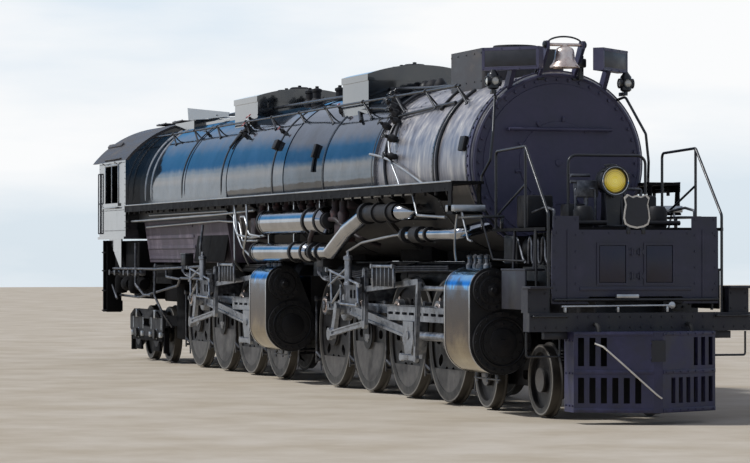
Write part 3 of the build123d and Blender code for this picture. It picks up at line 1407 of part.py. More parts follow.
def plough(inset):
    """The right half of the pilot's outline in plan, or of one inside it."""
    half, shoulder, nose = PILOT_HALF - inset, SHOULDER - inset / 2, NOSE - inset
    return plan(((PILOT_REAR, 0), (PILOT_REAR, -half), (shoulder, -half), (nose, -NOSE_HALF), (nose, 0)))


with BuildPart() as pilot:
    for inset, top, mode in ((0, BEAM_LOW - SEAT, Mode.ADD), (PILOT_SKIN, BEAM_LOW - PILOT_ROOF, Mode.SUBTRACT)):
        with BuildSketch(level(PILOT_LOW)):
            with BuildLine():
                Polyline(*plough(inset), close=True)
            make_face()
        extrude(amount=top - PILOT_LOW, mode=mode)
    # a sloping face's own plane has its sketch x from the shoulder to the nose
    face_length = hypot(NOSE - SHOULDER, PILOT_HALF - NOSE_HALF)
    towards_nose = Vector((NOSE - SHOULDER) / face_length, (PILOT_HALF - NOSE_HALF) / face_length, 0)
    face = Plane(
        origin=(along(SHOULDER), -PILOT_HALF, 0), x_dir=towards_nose, z_dir=(towards_nose.Y, -towards_nose.X, 0)
    )
    with BuildSketch(face):
        for low, high, count in SLOTS:
            for i in range(count):
                with Locations((SLOT_FIRST + i * SLOT_PITCH, above((low + high) / 2))):
                    Rectangle(SLOT_WIDTH, high - low)
    extrude(amount=-3 * PILOT_SKIN, mode=Mode.SUBTRACT)
    mirror(about=Plane.XZ)
    with BuildSketch(across(PILOT_REAR)):
        with Locations((0, above(COUPLER_Z))):
            Rectangle(COUPLER[0] + 2 * SEAT, COUPLER[1] + 2 * SEAT)
    extrude(amount=FRONT_END - PILOT_REAR, mode=Mode.SUBTRACT)
save(pilot.part, "pilot")

with BuildPart() as coupler:
    with BuildSketch(across(PILOT_REAR + PILOT_SKIN)):
        with Locations((0, above(COUPLER_Z))):
            Rectangle(*COUPLER)
    extrude(amount=FRONT_END - PILOT_REAR - PILOT_SKIN)
save(coupler.part, "coupler")

# Headlight on its pedestal, ahead of the smokebox
LAMP_X, LAMP_Z = 18600, 3000
LENS_R = 165
LAMP_LENGTH = 330
RIM = 32
RIM_DEPTH = 50
LENS_SET_BACK = 25
PEDESTAL_BLOCK = (160, 200)
with BuildPart() as headlight:
    centre = Vector(along(LAMP_X), 0, above(LAMP_Z))
    with BuildSketch(Plane(origin=centre, x_dir=(1, 0, 0), z_dir=(0, -1, 0))):
        with BuildLine():
            Polyline(
                (-LAMP_LENGTH, 0), (-LAMP_LENGTH, 0.75 * LENS_R), (-0.8 * LAMP_LENGTH, LENS_R),
                (-RIM_DEPTH - 10, LENS_R + 10), (-RIM_DEPTH, LENS_R + RIM), (0, LENS_R + RIM), (0, LENS_R),
                (-LENS_SET_BACK, LENS_R - 15), (-LENS_SET_BACK, 0), close=True,
            )
        make_face()
    revolve(axis=Axis(centre, (1, 0, 0)))
    with BuildSketch(level(DECK_Z + SEAT)):
        with Locations((along(LAMP_X - LAMP_LENGTH / 2), 0)):
            Rectangle(*PEDESTAL_BLOCK)
    extrude(amount=LAMP_Z - DECK_Z - LENS_R + 15)
save(headlight.part, "headlight")

# Handrails of the front deck: one at each side that goes down past the shield to the beam, and a loop in the middle
SIDE_RAIL_Y = SHIELD_HALF + 48
SIDE_RAIL = (
    # station, height
    (17350, DECK_Z + SEAT), (17350, 3400), (18450, 3430), (SHIELD_X, 2560), (SHIELD_X, BEAM_TOP + SEAT),
)
LOOP_X, LOOP_HALF, LOOP_Z = 18300, 530, 3330
with BuildPart() as deck_handrails:
    add(pipe([(along(s), -SIDE_RAIL_Y, above(z)) for s, z in SIDE_RAIL], 70, RAIL_R))
    mirror(about=Plane.XZ)
    foot = DECK_Z + SEAT
    loop = ((-LOOP_HALF, foot), (-LOOP_HALF, LOOP_Z), (LOOP_HALF, LOOP_Z), (LOOP_HALF, foot))
    add(pipe([(along(LOOP_X), y, above(z)) for y, z in loop], 110, RAIL_R))
save(deck_handrails.part, "deck_handrails")
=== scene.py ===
import math

import bmesh
import bpy
from mathutils import Matrix, Vector


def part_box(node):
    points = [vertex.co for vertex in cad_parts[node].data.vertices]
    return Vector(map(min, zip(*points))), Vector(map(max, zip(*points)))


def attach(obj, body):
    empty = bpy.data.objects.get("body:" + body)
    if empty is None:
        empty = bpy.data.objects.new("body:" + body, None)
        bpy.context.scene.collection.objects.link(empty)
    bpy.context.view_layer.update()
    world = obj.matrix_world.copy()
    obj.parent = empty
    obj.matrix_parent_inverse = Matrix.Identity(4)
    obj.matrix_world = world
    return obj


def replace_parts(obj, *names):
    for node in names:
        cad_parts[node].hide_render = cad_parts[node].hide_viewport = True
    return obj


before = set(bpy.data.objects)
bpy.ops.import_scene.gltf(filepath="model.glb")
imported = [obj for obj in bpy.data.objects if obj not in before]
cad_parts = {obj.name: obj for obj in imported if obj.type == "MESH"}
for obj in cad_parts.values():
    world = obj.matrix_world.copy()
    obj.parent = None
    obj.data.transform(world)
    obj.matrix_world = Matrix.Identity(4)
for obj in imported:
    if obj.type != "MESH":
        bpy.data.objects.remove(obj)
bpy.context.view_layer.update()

# Places: stations are metres ahead of the rearmost driving axle, heights are metres above the rail top,
# and the engine's right is at negative y.
RAIL_TOP = 0.028
FIRST_AXLE = (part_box("rear_driver_4")[0][0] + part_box("rear_driver_4")[1][0]) / 2


def at(station, y, height):
    """A place by its station, y and height."""
    return Vector((FIRST_AXLE + station, y, height + RAIL_TOP))


AHEAD, UP, RIGHT = Vector((1, 0, 0)), Vector((0, 0, 1)), Vector((0, -1, 0))
BOILER, FRONT = "boiler_and_rear_engine", "front_engine"

# The main sizes, in metres, as the solids have them
BOILER_AXIS = 3.29
SMOKEBOX, FRONT_COURSE, JACKET = 1.21, 1.25, 1.33
TAPER_FRONT, SMOKEBOX_REAR, SMOKEBOX_FRONT = 7.6, 12.3, 16.5
RAIL_ANGLE, RAIL_REACH = 47.8, 1.46
SAND_BOXES = ((2.75, 4.3), (9.4, 10.75))
STACKS = (14.22, 14.88)
DRIVER_RADIUS, DRIVER_PITCH, CRANK = 0.864, 1.854, 0.406
LEADING_AXLES, LEADING_RADIUS = (18.05, 15.98), 0.457
TRAILING_AXLES, TRAILING_RADIUS = (-2.46, -4.035), 0.533
CYLINDER_Y, CYLINDER_HEIGHT, CYLINDER_RADIUS = 1.17, 0.93, 0.42
CHEST_Y, CHEST_HEIGHT, CHEST_RADIUS = 1.30, 1.60, 0.29
CASING_HALF = 0.52
TANK_Y = 1.43
TANKS = (
    # rear end, front end, radius, height
    (7.04, 10.56, 0.2, 2.585),
    (6.42, 9.63, 0.15, 2.11),
)
BOARD_TOP = 3.03
LAMP = at(18.6, 0, 3.0)
BELL_FOOT = at(16.8, 0, 4.54)
ENGINES = (
    # name, rearmost driving axle, middle of the cylinders, body
    ("rear", 0.0, 7.05, BOILER),
    ("front", 8.839, 17.03, FRONT),
)


# Camera: a long lens ahead of the engine, off its right-hand side, at a standing person's eye height

CAMERA_PLACE = at(53.261, -14.037, 2.036)
CAMERA_YAW = 0.303
CAMERA_PITCH = 0.00855
CAMERA_LENS = 140.97
CAMERA_REACH = 400


def set_camera():
    """A camera that looks back along the engine from ahead of it."""
    look = Vector((
        -math.cos(CAMERA_YAW) * math.cos(CAMERA_PITCH),
        math.sin(CAMERA_YAW) * math.cos(CAMERA_PITCH),
        math.sin(CAMERA_PITCH),
    ))
    camera = bpy.data.objects.new("camera", bpy.data.cameras.new("camera"))
    camera.data.sensor_width = 36
    camera.data.lens = CAMERA_LENS
    camera.data.clip_end = CAMERA_REACH
    camera.location = CAMERA_PLACE
    camera.rotation_euler = look.to_track_quat("-Z", "Y").to_euler()
    bpy.context.scene.collection.objects.link(camera)
    bpy.context.scene.camera = camera


# Nodes and colours

def linear(hex_colour):
    """An sRGB hex colour as linear red, green, blue and alpha."""
    channels = [int(hex_colour[i:i + 2], 16) / 255 for i in (1, 3, 5)]
    return [c / 12.92 if c <= 0.04045 else ((c + 0.055) / 1.055) ** 2.4 for c in channels] + [1.0]


def node(tree, kind, links=(), stops=(), **settings):
    """A node with its settings, its (output, input) links and, for a ramp, its (place, hex colour) stops."""
    made = tree.nodes.new(kind)
    for name, value in settings.items():
        if hasattr(made, name):
            setattr(made, name, value)
        else:
            made.inputs[name.replace("_", " ")].default_value = value
    for i, (place, colour) in enumerate(stops):
        stop = made.color_ramp.elements[i] if i < 2 else made.color_ramp.elements.new(place)
        stop.position = place
        stop.color = linear(colour)
    for output, name in links:
        tree.links.new(output, made.inputs[name])
    return made


def ramp(tree, value, stops):
    """The colour that a value has among (place, hex colour) stops."""
    return node(tree, "ShaderNodeValToRGB", [(value, "Fac")], stops).outputs["Color"]


def between(tree, value, start, end, low, high):
    """A value from start to end mapped to a range, and held beyond it."""
    return node(
        tree, "ShaderNodeMapRange", [(value, "Value")], From_Min=start, From_Max=end, To_Min=low, To_Max=high,
    ).outputs["Result"]


def combined(tree, operation, first, second):
    """Two values combined by a math node."""
    return node(tree, "ShaderNodeMath", [(first, 0), (second, 1)], operation=operation).outputs["Value"]


def unsigned(tree, value):
    """A value without its sign."""
    return node(tree, "ShaderNodeMath", [(value, 0)], operation="ABSOLUTE").outputs["Value"]


def mixed(tree, share, first, second):
    """Two colours mixed by a share: each is a node's output or a plain colour."""
    mix = node(tree, "ShaderNodeMixRGB", [(share, "Fac")])
    for name, colour in (("Color1", first), ("Color2", second)):
        if isinstance(colour, (list, tuple)):
            mix.inputs[name].default_value = colour
        else:
            tree.links.new(colour, mix.inputs[name])
    return mix.outputs["Color"]


def axes(tree, coords):
    """The X, Y and Z of coordinates, by name."""
    return node(tree, "ShaderNodeSeparateXYZ", [(coords, "Vector")]).outputs


def distance_from(tree, coords, place, weights=(1, 1, 1)):
    """How far coordinates are from a place, with each axis weighted."""
    placed = node(tree, "ShaderNodeMapping", [(coords, "Vector")], Location=[-c for c in place]).outputs["Vector"]
    scaled = node(tree, "ShaderNodeVectorMath", [(placed, 0)], operation="MULTIPLY")
    scaled.inputs[1].default_value = weights
    return node(tree, "ShaderNodeVectorMath", [(scaled.outputs["Vector"], 0)], operation="LENGTH").outputs["Value"]


# Daylight: metal and glass see a pale sky with low clouds, and everything else is lit evenly

DAYLIGHT = "#c9cfe4"
DAYLIGHT_STRENGTH = 0.36
SUN_STRENGTH = 2.5
SUN_FROM = (-0.25, -0.8, 0.9)
SUN_WIDTH = 0.08
# The sky's colours by height: haze at the foot, blue between the clouds, and plain pale cloud overhead
SKY = (
    (0.0, "#d9e4ec"), (0.05, "#dfeaf3"), (0.11, "#c4dcf0"), (0.15, "#4f9ad8"), (0.215, "#5a9fd8"), (0.27, "#c3cbdc"),
    (1.0, "#b4bccb"),
)
CLOUD_FOOT, CLOUD_TOP = 0.1, 0.19


def set_light():
    """A sky that metal, glass and the camera see, an even light for everything else, and a soft sun."""
    world = bpy.data.worlds.new("daylight")
    bpy.context.scene.world = world
    world.use_nodes = True
    tree = world.node_tree
    even = tree.nodes["Background"]
    even.inputs["Color"].default_value = linear(DAYLIGHT)
    even.inputs["Strength"].default_value = DAYLIGHT_STRENGTH
    direction = node(tree, "ShaderNodeTexCoord").outputs["Generated"]
    height = axes(tree, direction)["Z"]
    spread = node(tree, "ShaderNodeMapping", [(direction, "Vector")], Scale=(2.2, 2.2, 11.0))
    puffs = node(tree, "ShaderNodeTexNoise", [(spread.outputs["Vector"], "Vector")], Scale=1.3, Detail=7.0)
    cover = combined(tree, "ADD", puffs.outputs["Fac"], between(tree, height, CLOUD_FOOT, CLOUD_TOP, 0.16, -0.2))
    clouded = mixed(tree, between(tree, cover, 0.55, 0.72, 0, 1), ramp(tree, height, SKY), linear("#fbfcfd"))
    seen = node(tree, "ShaderNodeBackground", [(clouded, "Color")])
    rays = node(tree, "ShaderNodeLightPath").outputs
    direct = combined(tree, "MAXIMUM", rays["Is Camera Ray"], rays["Is Glossy Ray"])
    through = combined(tree, "MAXIMUM", direct, rays["Is Transmission Ray"])
    mix = node(
        tree, "ShaderNodeMixShader", [(through, 0), (even.outputs["Background"], 1), (seen.outputs["Background"], 2)],
    )
    tree.links.new(mix.outputs["Shader"], tree.nodes["World Output"].inputs["Surface"])

    sun = bpy.data.objects.new("sun", bpy.data.lights.new("sun", "SUN"))
    sun.data.energy = SUN_STRENGTH
    sun.data.angle = SUN_WIDTH
    sun.rotation_euler = Vector(SUN_FROM).to_track_quat("Z", "Y").to_euler()
    bpy.context.scene.collection.objects.link(sun)


# Materials

def start_material(name, **even):
    """A new material with the shader's even settings: the material, its tree, its shader and its Object coordinates."""
    material = bpy.data.materials.new(name)
    material.use_nodes = True
    tree = material.node_tree
    shader = tree.nodes["Principled BSDF"]
    for socket, value in even.items():
        shader.inputs[socket.replace("_", " ")].default_value = value
    return material, tree, shader, node(tree, "ShaderNodeTexCoord").outputs["Object"]


def shades_over(tree, coords, shades, patch, stretch=(1, 1, 1)):
    """Colours in soft patches of a size in mm, stretched along an axis where they run.

    It gives the colour and the patches' own values.
    """
    stretched = node(tree, "ShaderNodeMapping", [(coords, "Vector")], Scale=stretch).outputs["Vector"]
    patches = node(
        tree, "ShaderNodeTexNoise", [(stretched, "Vector")], Scale=1000 / patch, Detail=7.0, Roughness=0.62,
    )
    return ramp(tree, patches.outputs["Fac"], shades), patches.outputs["Fac"]


def relief(tree, shader, coords, grain, depth, stretch=(1, 1, 1)):
    """An uneven surface: grain and depth are in mm."""
    stretched = node(tree, "ShaderNodeMapping", [(coords, "Vector")], Scale=stretch).outputs["Vector"]
    rise = node(tree, "ShaderNodeTexNoise", [(stretched, "Vector")], Scale=1000 / grain, Detail=4.0)
    bump = node(tree, "ShaderNodeBump", [(rise.outputs["Fac"], "Height")], Strength=1.0, Distance=depth / 1000)
    tree.links.new(bump.outputs["Normal"], shader.inputs["Normal"])


def weathered(name, shades, roughness, patch, grain, depth, stretch=(1, 1, 1), **even):
    """One finish all over: shades in patches, roughness that follows them, and a fine relief, sizes in mm."""
    material, tree, shader, coords = start_material(name, **even)
    colour, patches = shades_over(tree, coords, shades, patch, stretch)
    tree.links.new(colour, shader.inputs["Base Color"])
    tree.links.new(between(tree, patches, 0.35, 0.65, *roughness), shader.inputs["Roughness"])
    relief(tree, shader, coords, grain, depth)
    return material


# Gloss black enamel over sheet steel mirrors the sky, and its slow waves, some 900 mm long, bend what it mirrors.
enamel = weathered(
    "gloss black enamel on sheet steel", ((0.35, "#0c0e12"), (0.65, "#191c22")), (0.1, 0.24), 420, 900, 4.0,
    Coat_Weight=1.0, Coat_Roughness=0.04, IOR=1.6,
)
# Cast steel under old black paint is dull, with brake dust and oil in soft patches.
cast_steel = weathered(
    "painted cast steel, dusty", ((0.3, "#0a0a0d"), (0.52, "#141418"), (0.72, "#2a2828")), (0.45, 0.72), 260, 14, 1.0,
    Specular_IOR_Level=0.35,
)
# Castings and sheets under the boiler are nearly black with no shine: partly oily soot, and partly painted shade under
# the boiler.
soot = weathered(
    "oily soot", ((0.3, "#060607"), (0.55, "#0d0d0f"), (0.75, "#1a191a")), (0.75, 0.95), 200, 8, 0.6,
    Specular_IOR_Level=0.15,
)
# Rods and gear of machined steel are kept bright under a film of oil.
bright_steel = weathered(
    "machined steel, oiled", ((0.3, "#55585f"), (0.5, "#868a91"), (0.7, "#b0b2b5")), (0.25, 0.45), 150, 60, 0.15,
    Metallic=0.85,
)
# Steel that is wiped but not polished: hangers, clips and small brackets.
worn_steel = weathered(
    "wiped steel", ((0.3, "#2c2d31"), (0.5, "#55575c"), (0.7, "#83858a")), (0.35, 0.55), 120, 40, 0.2, Metallic=0.7,
)
# Hot pipes and castings rust to a dark red brown where their paint has burnt off.
heated_iron = weathered(
    "burnt paint over iron", ((0.35, "#1b1719"), (0.55, "#33262a"), (0.72, "#5a3c3c")), (0.5, 0.75), 140, 16, 0.8,
)
# Rolled stainless steel, polished after forming, mirrors sky and ground with a little haze.
polished_steel = weathered(
    "polished stainless steel", ((0.35, "#8f9196"), (0.65, "#b3b5b9")), (0.07, 0.2), 500, 700, 2.0, Metallic=1.0,
)
# Sheet steel beside a fire turns a dry purple grey, with ash in streaks that run down it.
scorched_sheet = weathered(
    "heat-stained sheet steel", ((0.3, "#38323c"), (0.5, "#544c58"), (0.7, "#7b727c")), (0.5, 0.75), 240, 30, 1.5,
    stretch=(1, 1, 0.35), Metallic=0.25,
)
# Satin paint on the pilot and the shield is blue black, and scuffed paler in patches.
satin_paint = weathered(
    "satin blue-black paint", ((0.3, "#222333"), (0.55, "#303144"), (0.75, "#434457")), (0.36, 0.58), 340, 12, 0.6,
)
# The smokebox front has a flat heat-proof paint with a soft sheen and soot near its seams.
front_paint = weathered(
    "heat-proof paint", ((0.3, "#33334a"), (0.55, "#45445e"), (0.75, "#57566e")), (0.4, 0.6), 520, 9, 0.5,
)
# The beam under the shield has older, blacker paint.
beam_paint = weathered(
    "worn blue-black paint", ((0.3, "#141419"), (0.55, "#1f1f28"), (0.75, "#30303a")), (0.4, 0.65), 300, 12, 0.8,
)
# The sheets in the shield's two openings are darker and smoother than the shield.
panel_paint = weathered("smooth dark sheet", ((0.35, "#17162a"), (0.65, "#212034")), (0.3, 0.45), 300, 60, 0.3)
# The pilot's paint is newer, and bluer.
pilot_paint = weathered(
    "satin blue paint", ((0.3, "#1b1b31"), (0.55, "#292948"), (0.75, "#3a3a5a")), (0.36, 0.58), 260, 12, 0.6,
)
# The cab roof is dull from smoke, with pale dust in streaks along it.
roof_paint = weathered(
    "sooty roof paint", ((0.3, "#27262a"), (0.55, "#3f3c3d"), (0.75, "#66605c")), (0.38, 0.6), 300, 20, 0.8,
    stretch=(0.4, 1, 1),
)
# Gloss black pipe is smooth from many hands.
rail_enamel = weathered("gloss black pipe enamel", ((0.35, "#0e0f12"), (0.65, "#202228")), (0.25, 0.4), 150, 40, 0.2)
# Pale worn aluminium on the boards' edges is scuffed along its length.
worn_aluminium = weathered(
    "worn aluminium", ((0.3, "#8f9194"), (0.6, "#b9bbbc")), (0.3, 0.5), 300, 8, 0.2, stretch=(0.3, 1, 1), Metallic=0.9,
)
# Turned bell bronze has been polished down to a warm pale yellow.
bell_bronze = weathered(
    "polished bell bronze", ((0.35, "#bfa9a0"), (0.65, "#e9dbd0")), (0.22, 0.38), 120, 60, 0.3, Metallic=0.75,
)
# Chrome plate is hard, even and nearly a mirror.
chrome = weathered("chrome plate", ((0.35, "#c8cacc"), (0.65, "#e2e3e4")), (0.05, 0.1), 200, 80, 0.1, Metallic=1.0)
# Hoses and seat pads of black rubber are matt and a little grey with dust.
rubber = weathered("black rubber", ((0.35, "#151515"), (0.65, "#2b2a29")), (0.6, 0.8), 90, 6, 0.4)
# Enamelled sign plates are left blank: an even black face and a white rim.
plate_black = weathered("black vitreous enamel", ((0.35, "#1a1b21"), (0.65, "#282a32")), (0.4, 0.55), 160, 90, 0.2)
plate_white = weathered(
    "white vitreous enamel", ((0.35, "#cfcdc6"), (0.65, "#e4e2dc")), (0.18, 0.3), 60, 40, 0.2, Coat_Weight=0.6,
)
# Copper pipes have gone brown, and shine only where they are rubbed.
copper = weathered(
    "browned copper", ((0.3, "#3b2a24"), (0.55, "#6b4636"), (0.75, "#a06e52")), (0.3, 0.5), 110, 20, 0.2, Metallic=0.8,
)
# The cab is lined with pale green enamel that has yellowed.
cab_green = weathered("green cab enamel", ((0.35, "#5d7264"), (0.65, "#75887a")), (0.35, 0.5), 240, 20, 0.3)
# Red enamel marks the valve wheels.
signal_red = weathered("red enamel", ((0.35, "#7e1f1c"), (0.65, "#a02c26")), (0.25, 0.4), 60, 20, 0.2, Coat_Weight=0.4)
# Graphite on the rivets and seams has been brushed by hand and is a little paler than the plate.
chalk_graphite = weathered(
    "graphite paste on rivets", ((0.35, "#6c6d70"), (0.65, "#9a9b9b")), (0.4, 0.55), 90, 10, 0.3, Metallic=0.6,
)
# Small lamp lenses are plain clear glass over a pale reflector.
clear_lens = weathered(
    "clear lamp glass over a reflector", ((0.35, "#b9bdb9"), (0.65, "#dfe2dd")), (0.08, 0.14), 40, 20, 0.3,
    Coat_Weight=1.0,
)


def lens_finish():
    """A ribbed amber glass lens with a brighter ring pattern 22 mm apart: a painted glint makes it palest at its
    middle, it darkens towards its edge, and its emission is a painted glow.
    """
    material, tree, shader, coords = start_material(
        "amber pressed glass lens", Roughness=0.12, Coat_Weight=1.0, IOR=1.5,
    )
    placed = node(tree, "ShaderNodeMapping", [(coords, "Vector")], Location=-LAMP)
    distance = distance_from(tree, coords, LAMP)
    wave = node(
        tree, "ShaderNodeTexWave", [(placed.outputs["Vector"], "Vector")], wave_type="RINGS", rings_direction="X",
        Scale=math.tau / (20 * 0.022),
    )
    ribs = between(tree, wave.outputs["Fac"], 0, 1, 0, 0.25)
    # painted glint: the colour is palest at the lens's middle and darkens towards its edge
    shade = combined(tree, "ADD", between(tree, distance, 0, 0.17, 0, 0.9), ribs)
    colour = ramp(tree, shade, ((0.0, "#fbf3b0"), (0.22, "#ecd84a"), (0.7, "#d3ba28"), (1.0, "#7d6b16")))
    tree.links.new(colour, shader.inputs["Base Color"])
    # painted glow: the lens emits its own amber colour
    tree.links.new(colour, shader.inputs["Emission Color"])
    shader.inputs["Emission Strength"].default_value = 0.35
    relief(tree, shader, coords, 30, 0.8)
    return material


def boiler_finish():
    """The jacket's gloss enamel over sheet steel, in a blue grey that is a painted sheen, and ahead of it the
    smokebox's bright rubbed graphite.

    The graphite is rough and streaked where rain has run down. Below the running boards both go near black: painted
    shade under the boards.
    """
    rear = at(SMOKEBOX_REAR, 0, 0).x
    material, tree, shader, coords = start_material(
        "enamelled jacket and graphite smokebox", Coat_Roughness=0.05, IOR=1.7,
    )
    parts = axes(tree, coords)
    ahead = between(tree, parts["X"], rear - 0.004, rear + 0.004, 0, 1)
    # painted sheen: the jacket's blue grey base is raised from black to stand in for the reflection of a clear coat
    black, waves = shades_over(tree, coords, ((0.35, "#262e38"), (0.65, "#46515e")), 500)
    streaks, patches = shades_over(
        tree, coords, ((0.3, "#75757d"), (0.45, "#98979e"), (0.6, "#bab6b4"), (0.75, "#e4dfd6")), 130, (1.0, 1.0, 0.22),
    )
    # painted shade: below the running boards the colour goes to near black, where the boards shade the boiler
    above_board_shade = between(tree, parts["Z"], at(0, 0, 2.85).z, at(0, 0, 3.15).z, 0, 1)
    colour = mixed(tree, above_board_shade, linear("#121114"), mixed(tree, ahead, black, streaks))
    rough = mixed(
        tree, ahead, between(tree, waves, 0.35, 0.65, 0.04, 0.11), between(tree, patches, 0.3, 0.7, 0.34, 0.52),
    )
    tree.links.new(colour, shader.inputs["Base Color"])
    tree.links.new(mixed(tree, above_board_shade, (0.6, 0.6, 0.6, 1), rough), shader.inputs["Roughness"])
    tree.links.new(between(tree, above_board_shade, 0, 1, 0.05, 0.75), shader.inputs["Metallic"])
    relief(tree, shader, coords, 1100, 16.0, (0.55, 1, 1))
    return material


def wheel_finish(axle, radius, rim):
    """Cast steel under brake dust, with a thin bright ring near the tyre's edge, which is rail wear and a painted
    highlight, and a pale balance weight.
    """
    material, tree, shader, coords = start_material("cast wheel with bright tyre", Metallic=0.35)
    distance = distance_from(tree, coords, axle, (1, 0, 1))
    side = unsigned(tree, axes(tree, coords)["Y"])
    dust, patches = shades_over(tree, coords, ((0.3, "#121214"), (0.55, "#222122"), (0.75, "#3b3835")), 150)
    # the pale stop near the tyre's edge is a thin bright ring: rail wear, and a painted highlight where the edge
    # catches the light
    tyre = ramp(
        tree, between(tree, distance, radius - 0.09, radius, 0, 1),
        ((0.0, "#2b2a29"), (0.6, "#383634"), (0.76, "#8d8982"), (0.9, "#474440"), (1.0, "#3f3c38")),
    )
    on_tyre = between(tree, distance, rim - 0.004, rim + 0.004, 0, 1)
    # the weight's face stands between the tyre's face and the pin's collar
    weight = combined(
        tree, "MULTIPLY", between(tree, side, 0.800, 0.806, 0, 1), between(tree, side, 0.830, 0.836, 1, 0),
    )
    colour = mixed(tree, on_tyre, mixed(tree, weight, dust, linear("#4f4d4c")), tyre)
    tree.links.new(colour, shader.inputs["Base Color"])
    tree.links.new(between(tree, patches, 0.3, 0.7, 0.38, 0.62), shader.inputs["Roughness"])
    relief(tree, shader, coords, 18, 0.8)
    return material


def cylinder_finish(station):
    """A polished stainless jacket over a dark casting, whose end covers and saddle stay dull.

    The jacket's colour is a painted reflection by height: the pale ground low down, a dark brown grey belt round its
    middle, and blue sky over the valve chest.
    """
    material, tree, shader, coords = start_material("polished jacket on a dark casting")
    parts = axes(tree, coords)
    off = distance_from(tree, coords, at(station, 0, 0), (1, 0, 0))
    length = between(tree, off, CASING_HALF - 0.012, CASING_HALF - 0.006, 1, 0)
    outside = between(tree, unsigned(tree, parts["Y"]), 0.80, 0.82, 0, 1)
    jacket = combined(tree, "MULTIPLY", length, outside)
    dull, patches = shades_over(tree, coords, ((0.3, "#0c0c0f"), (0.55, "#151416"), (0.75, "#262223")), 190)
    # blotches some 350 mm long shift the painted reflection's edges up and down by a tenth of the height
    blotch = node(
        tree, "ShaderNodeTexNoise", [(coords, "Vector")], Scale=1000 / 350, Detail=3.0, Roughness=0.6,
    ).outputs["Fac"]
    height = between(tree, parts["Z"], at(0, 0, 0.5).z, at(0, 0, 1.9).z, 0, 1)
    shift = between(tree, blotch, 0.3, 0.7, -0.1, 0.1)
    # painted reflection: pale ground at the foot, dark brown grey in the middle and the sky's blue at the top
    painted_reflection = ramp(
        tree, combined(tree, "ADD", height, shift),
        (
            (0.0, "#b9ad8e"), (0.22, "#8f836c"), (0.36, "#5a4f47"), (0.5, "#3d3738"), (0.72, "#35323b"),
            (0.82, "#4c5f78"), (0.88, "#4aa9e8"), (1.0, "#7cc4ee"),
        ),
    )
    tree.links.new(mixed(tree, jacket, dull, painted_reflection), shader.inputs["Base Color"])
    tree.links.new(jacket, shader.inputs["Metallic"])
    rough = mixed(tree, jacket, between(tree, patches, 0.3, 0.7, 0.4, 0.65), (0.13, 0.13, 0.13, 1))
    tree.links.new(rough, shader.inputs["Roughness"])
    relief(tree, shader, coords, 300, 1.5)
    return material


def board_finish():
    """Painted tread plate: raised studs 60 mm apart on top, worn bright, and dull black below."""
    material, tree, shader, coords = start_material("worn tread plate", Specular_IOR_Level=0.15)
    studs = node(
        tree, "ShaderNodeTexVoronoi", [(coords, "Vector")], Scale=1000 / 60, distance="CHEBYCHEV", Randomness=0.0,
    )
    on_top = between(tree, axes(tree, coords)["Z"], at(0, 0, BOARD_TOP - 0.004).z, at(0, 0, BOARD_TOP - 0.001).z, 0, 1)
    dull, patches = shades_over(tree, coords, ((0.3, "#070709"), (0.55, "#0d0d10"), (0.75, "#1c1b1d")), 240)
    worn = between(tree, studs.outputs["Distance"], 0.2, 0.35, 1, 0)
    wear = combined(tree, "MULTIPLY", worn, on_top)
    tree.links.new(mixed(tree, wear, dull, linear("#8a8b8c")), shader.inputs["Base Color"])
    tree.links.new(between(tree, patches, 0.3, 0.7, 0.55, 0.8), shader.inputs["Roughness"])
    bump = node(tree, "ShaderNodeBump", [(wear, "Height")], Strength=1.0, Distance=0.003)
    tree.links.new(bump.outputs["Normal"], shader.inputs["Normal"])
    return material


FINISHES = (
    # finish, the nodes that have it
    (boiler_finish(), ("boiler",)),
    (
        enamel,
        (
            "front_sand_box", "rear_sand_box", "turret_casing", "cab_front", "cab_back", "cab_right_side",
            "cab_left_side", "cab_floor",
        ),
    ),
    (roof_paint, ("cab_roof", "stack_casing")),
    (front_paint, ("smokebox_front", "number_boards", "bell_stand")),
    (scorched_sheet, ("firebox_sides",)),
    (board_finish(), ("running_boards", "front_deck")),
    (satin_paint, ("shield",)),
    (beam_paint, ("pilot_beam", "coupler", "air_pumps")),
    (pilot_paint, ("pilot",)),
    (cast_steel, ("rear_bed", "front_bed", "leading_truck", "trailing_truck")),
    (worn_steel, ("rear_link_brackets", "front_link_brackets")),
    (bright_steel, [
        f"{engine}_{part}" for engine in ("rear", "front")
        for part in ("guides", "valve_gear", "main_rods", "crossheads", "right_coupling_rods", "left_coupling_rods")
    ]),
    (polished_steel, ("coolers", "steam_pipes")),
    (rail_enamel, ("boiler_handrails", "deck_handrails", "headlight")),
    (bell_bronze, ("bell",)),
)
DRIVER_RIM, LEADING_RIM, TRAILING_RIM = 0.724, 0.362, 0.438
WHEELS = (
    # name, station, radius and rim radius
    *(
        (f"{engine}_driver_{4 - i}", first + DRIVER_PITCH * i, DRIVER_RADIUS, DRIVER_RIM)
        for engine, first, middle, body in ENGINES for i in range(4)
    ),
    *((f"leading_wheels_{i + 1}", LEADING_AXLES[i], LEADING_RADIUS, LEADING_RIM) for i in range(2)),
    *((f"trailing_wheels_{i + 1}", TRAILING_AXLES[i], TRAILING_RADIUS, TRAILING_RIM) for i in range(2)),
)


def paint(name, material):
    """Gives a CAD node its finish in place of what it came with."""
    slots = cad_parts[name].data.materials
    slots.clear()
    slots.append(material)


for material, names in FINISHES:
    for name in names:
        paint(name, material)
for name, station, radius, rim in WHEELS:
    paint(name, wheel_finish(at(station, 0, radius), radius, rim))
for engine, first, middle, body in ENGINES:
    paint(f"{engine}_cylinders", cylinder_finish(middle))


# Making pieces

def facing(direction):
    """The turn that points a shape's own Z along a direction."""
    return Vector(direction).to_track_quat("Z", "Y").to_matrix().to_4x4()


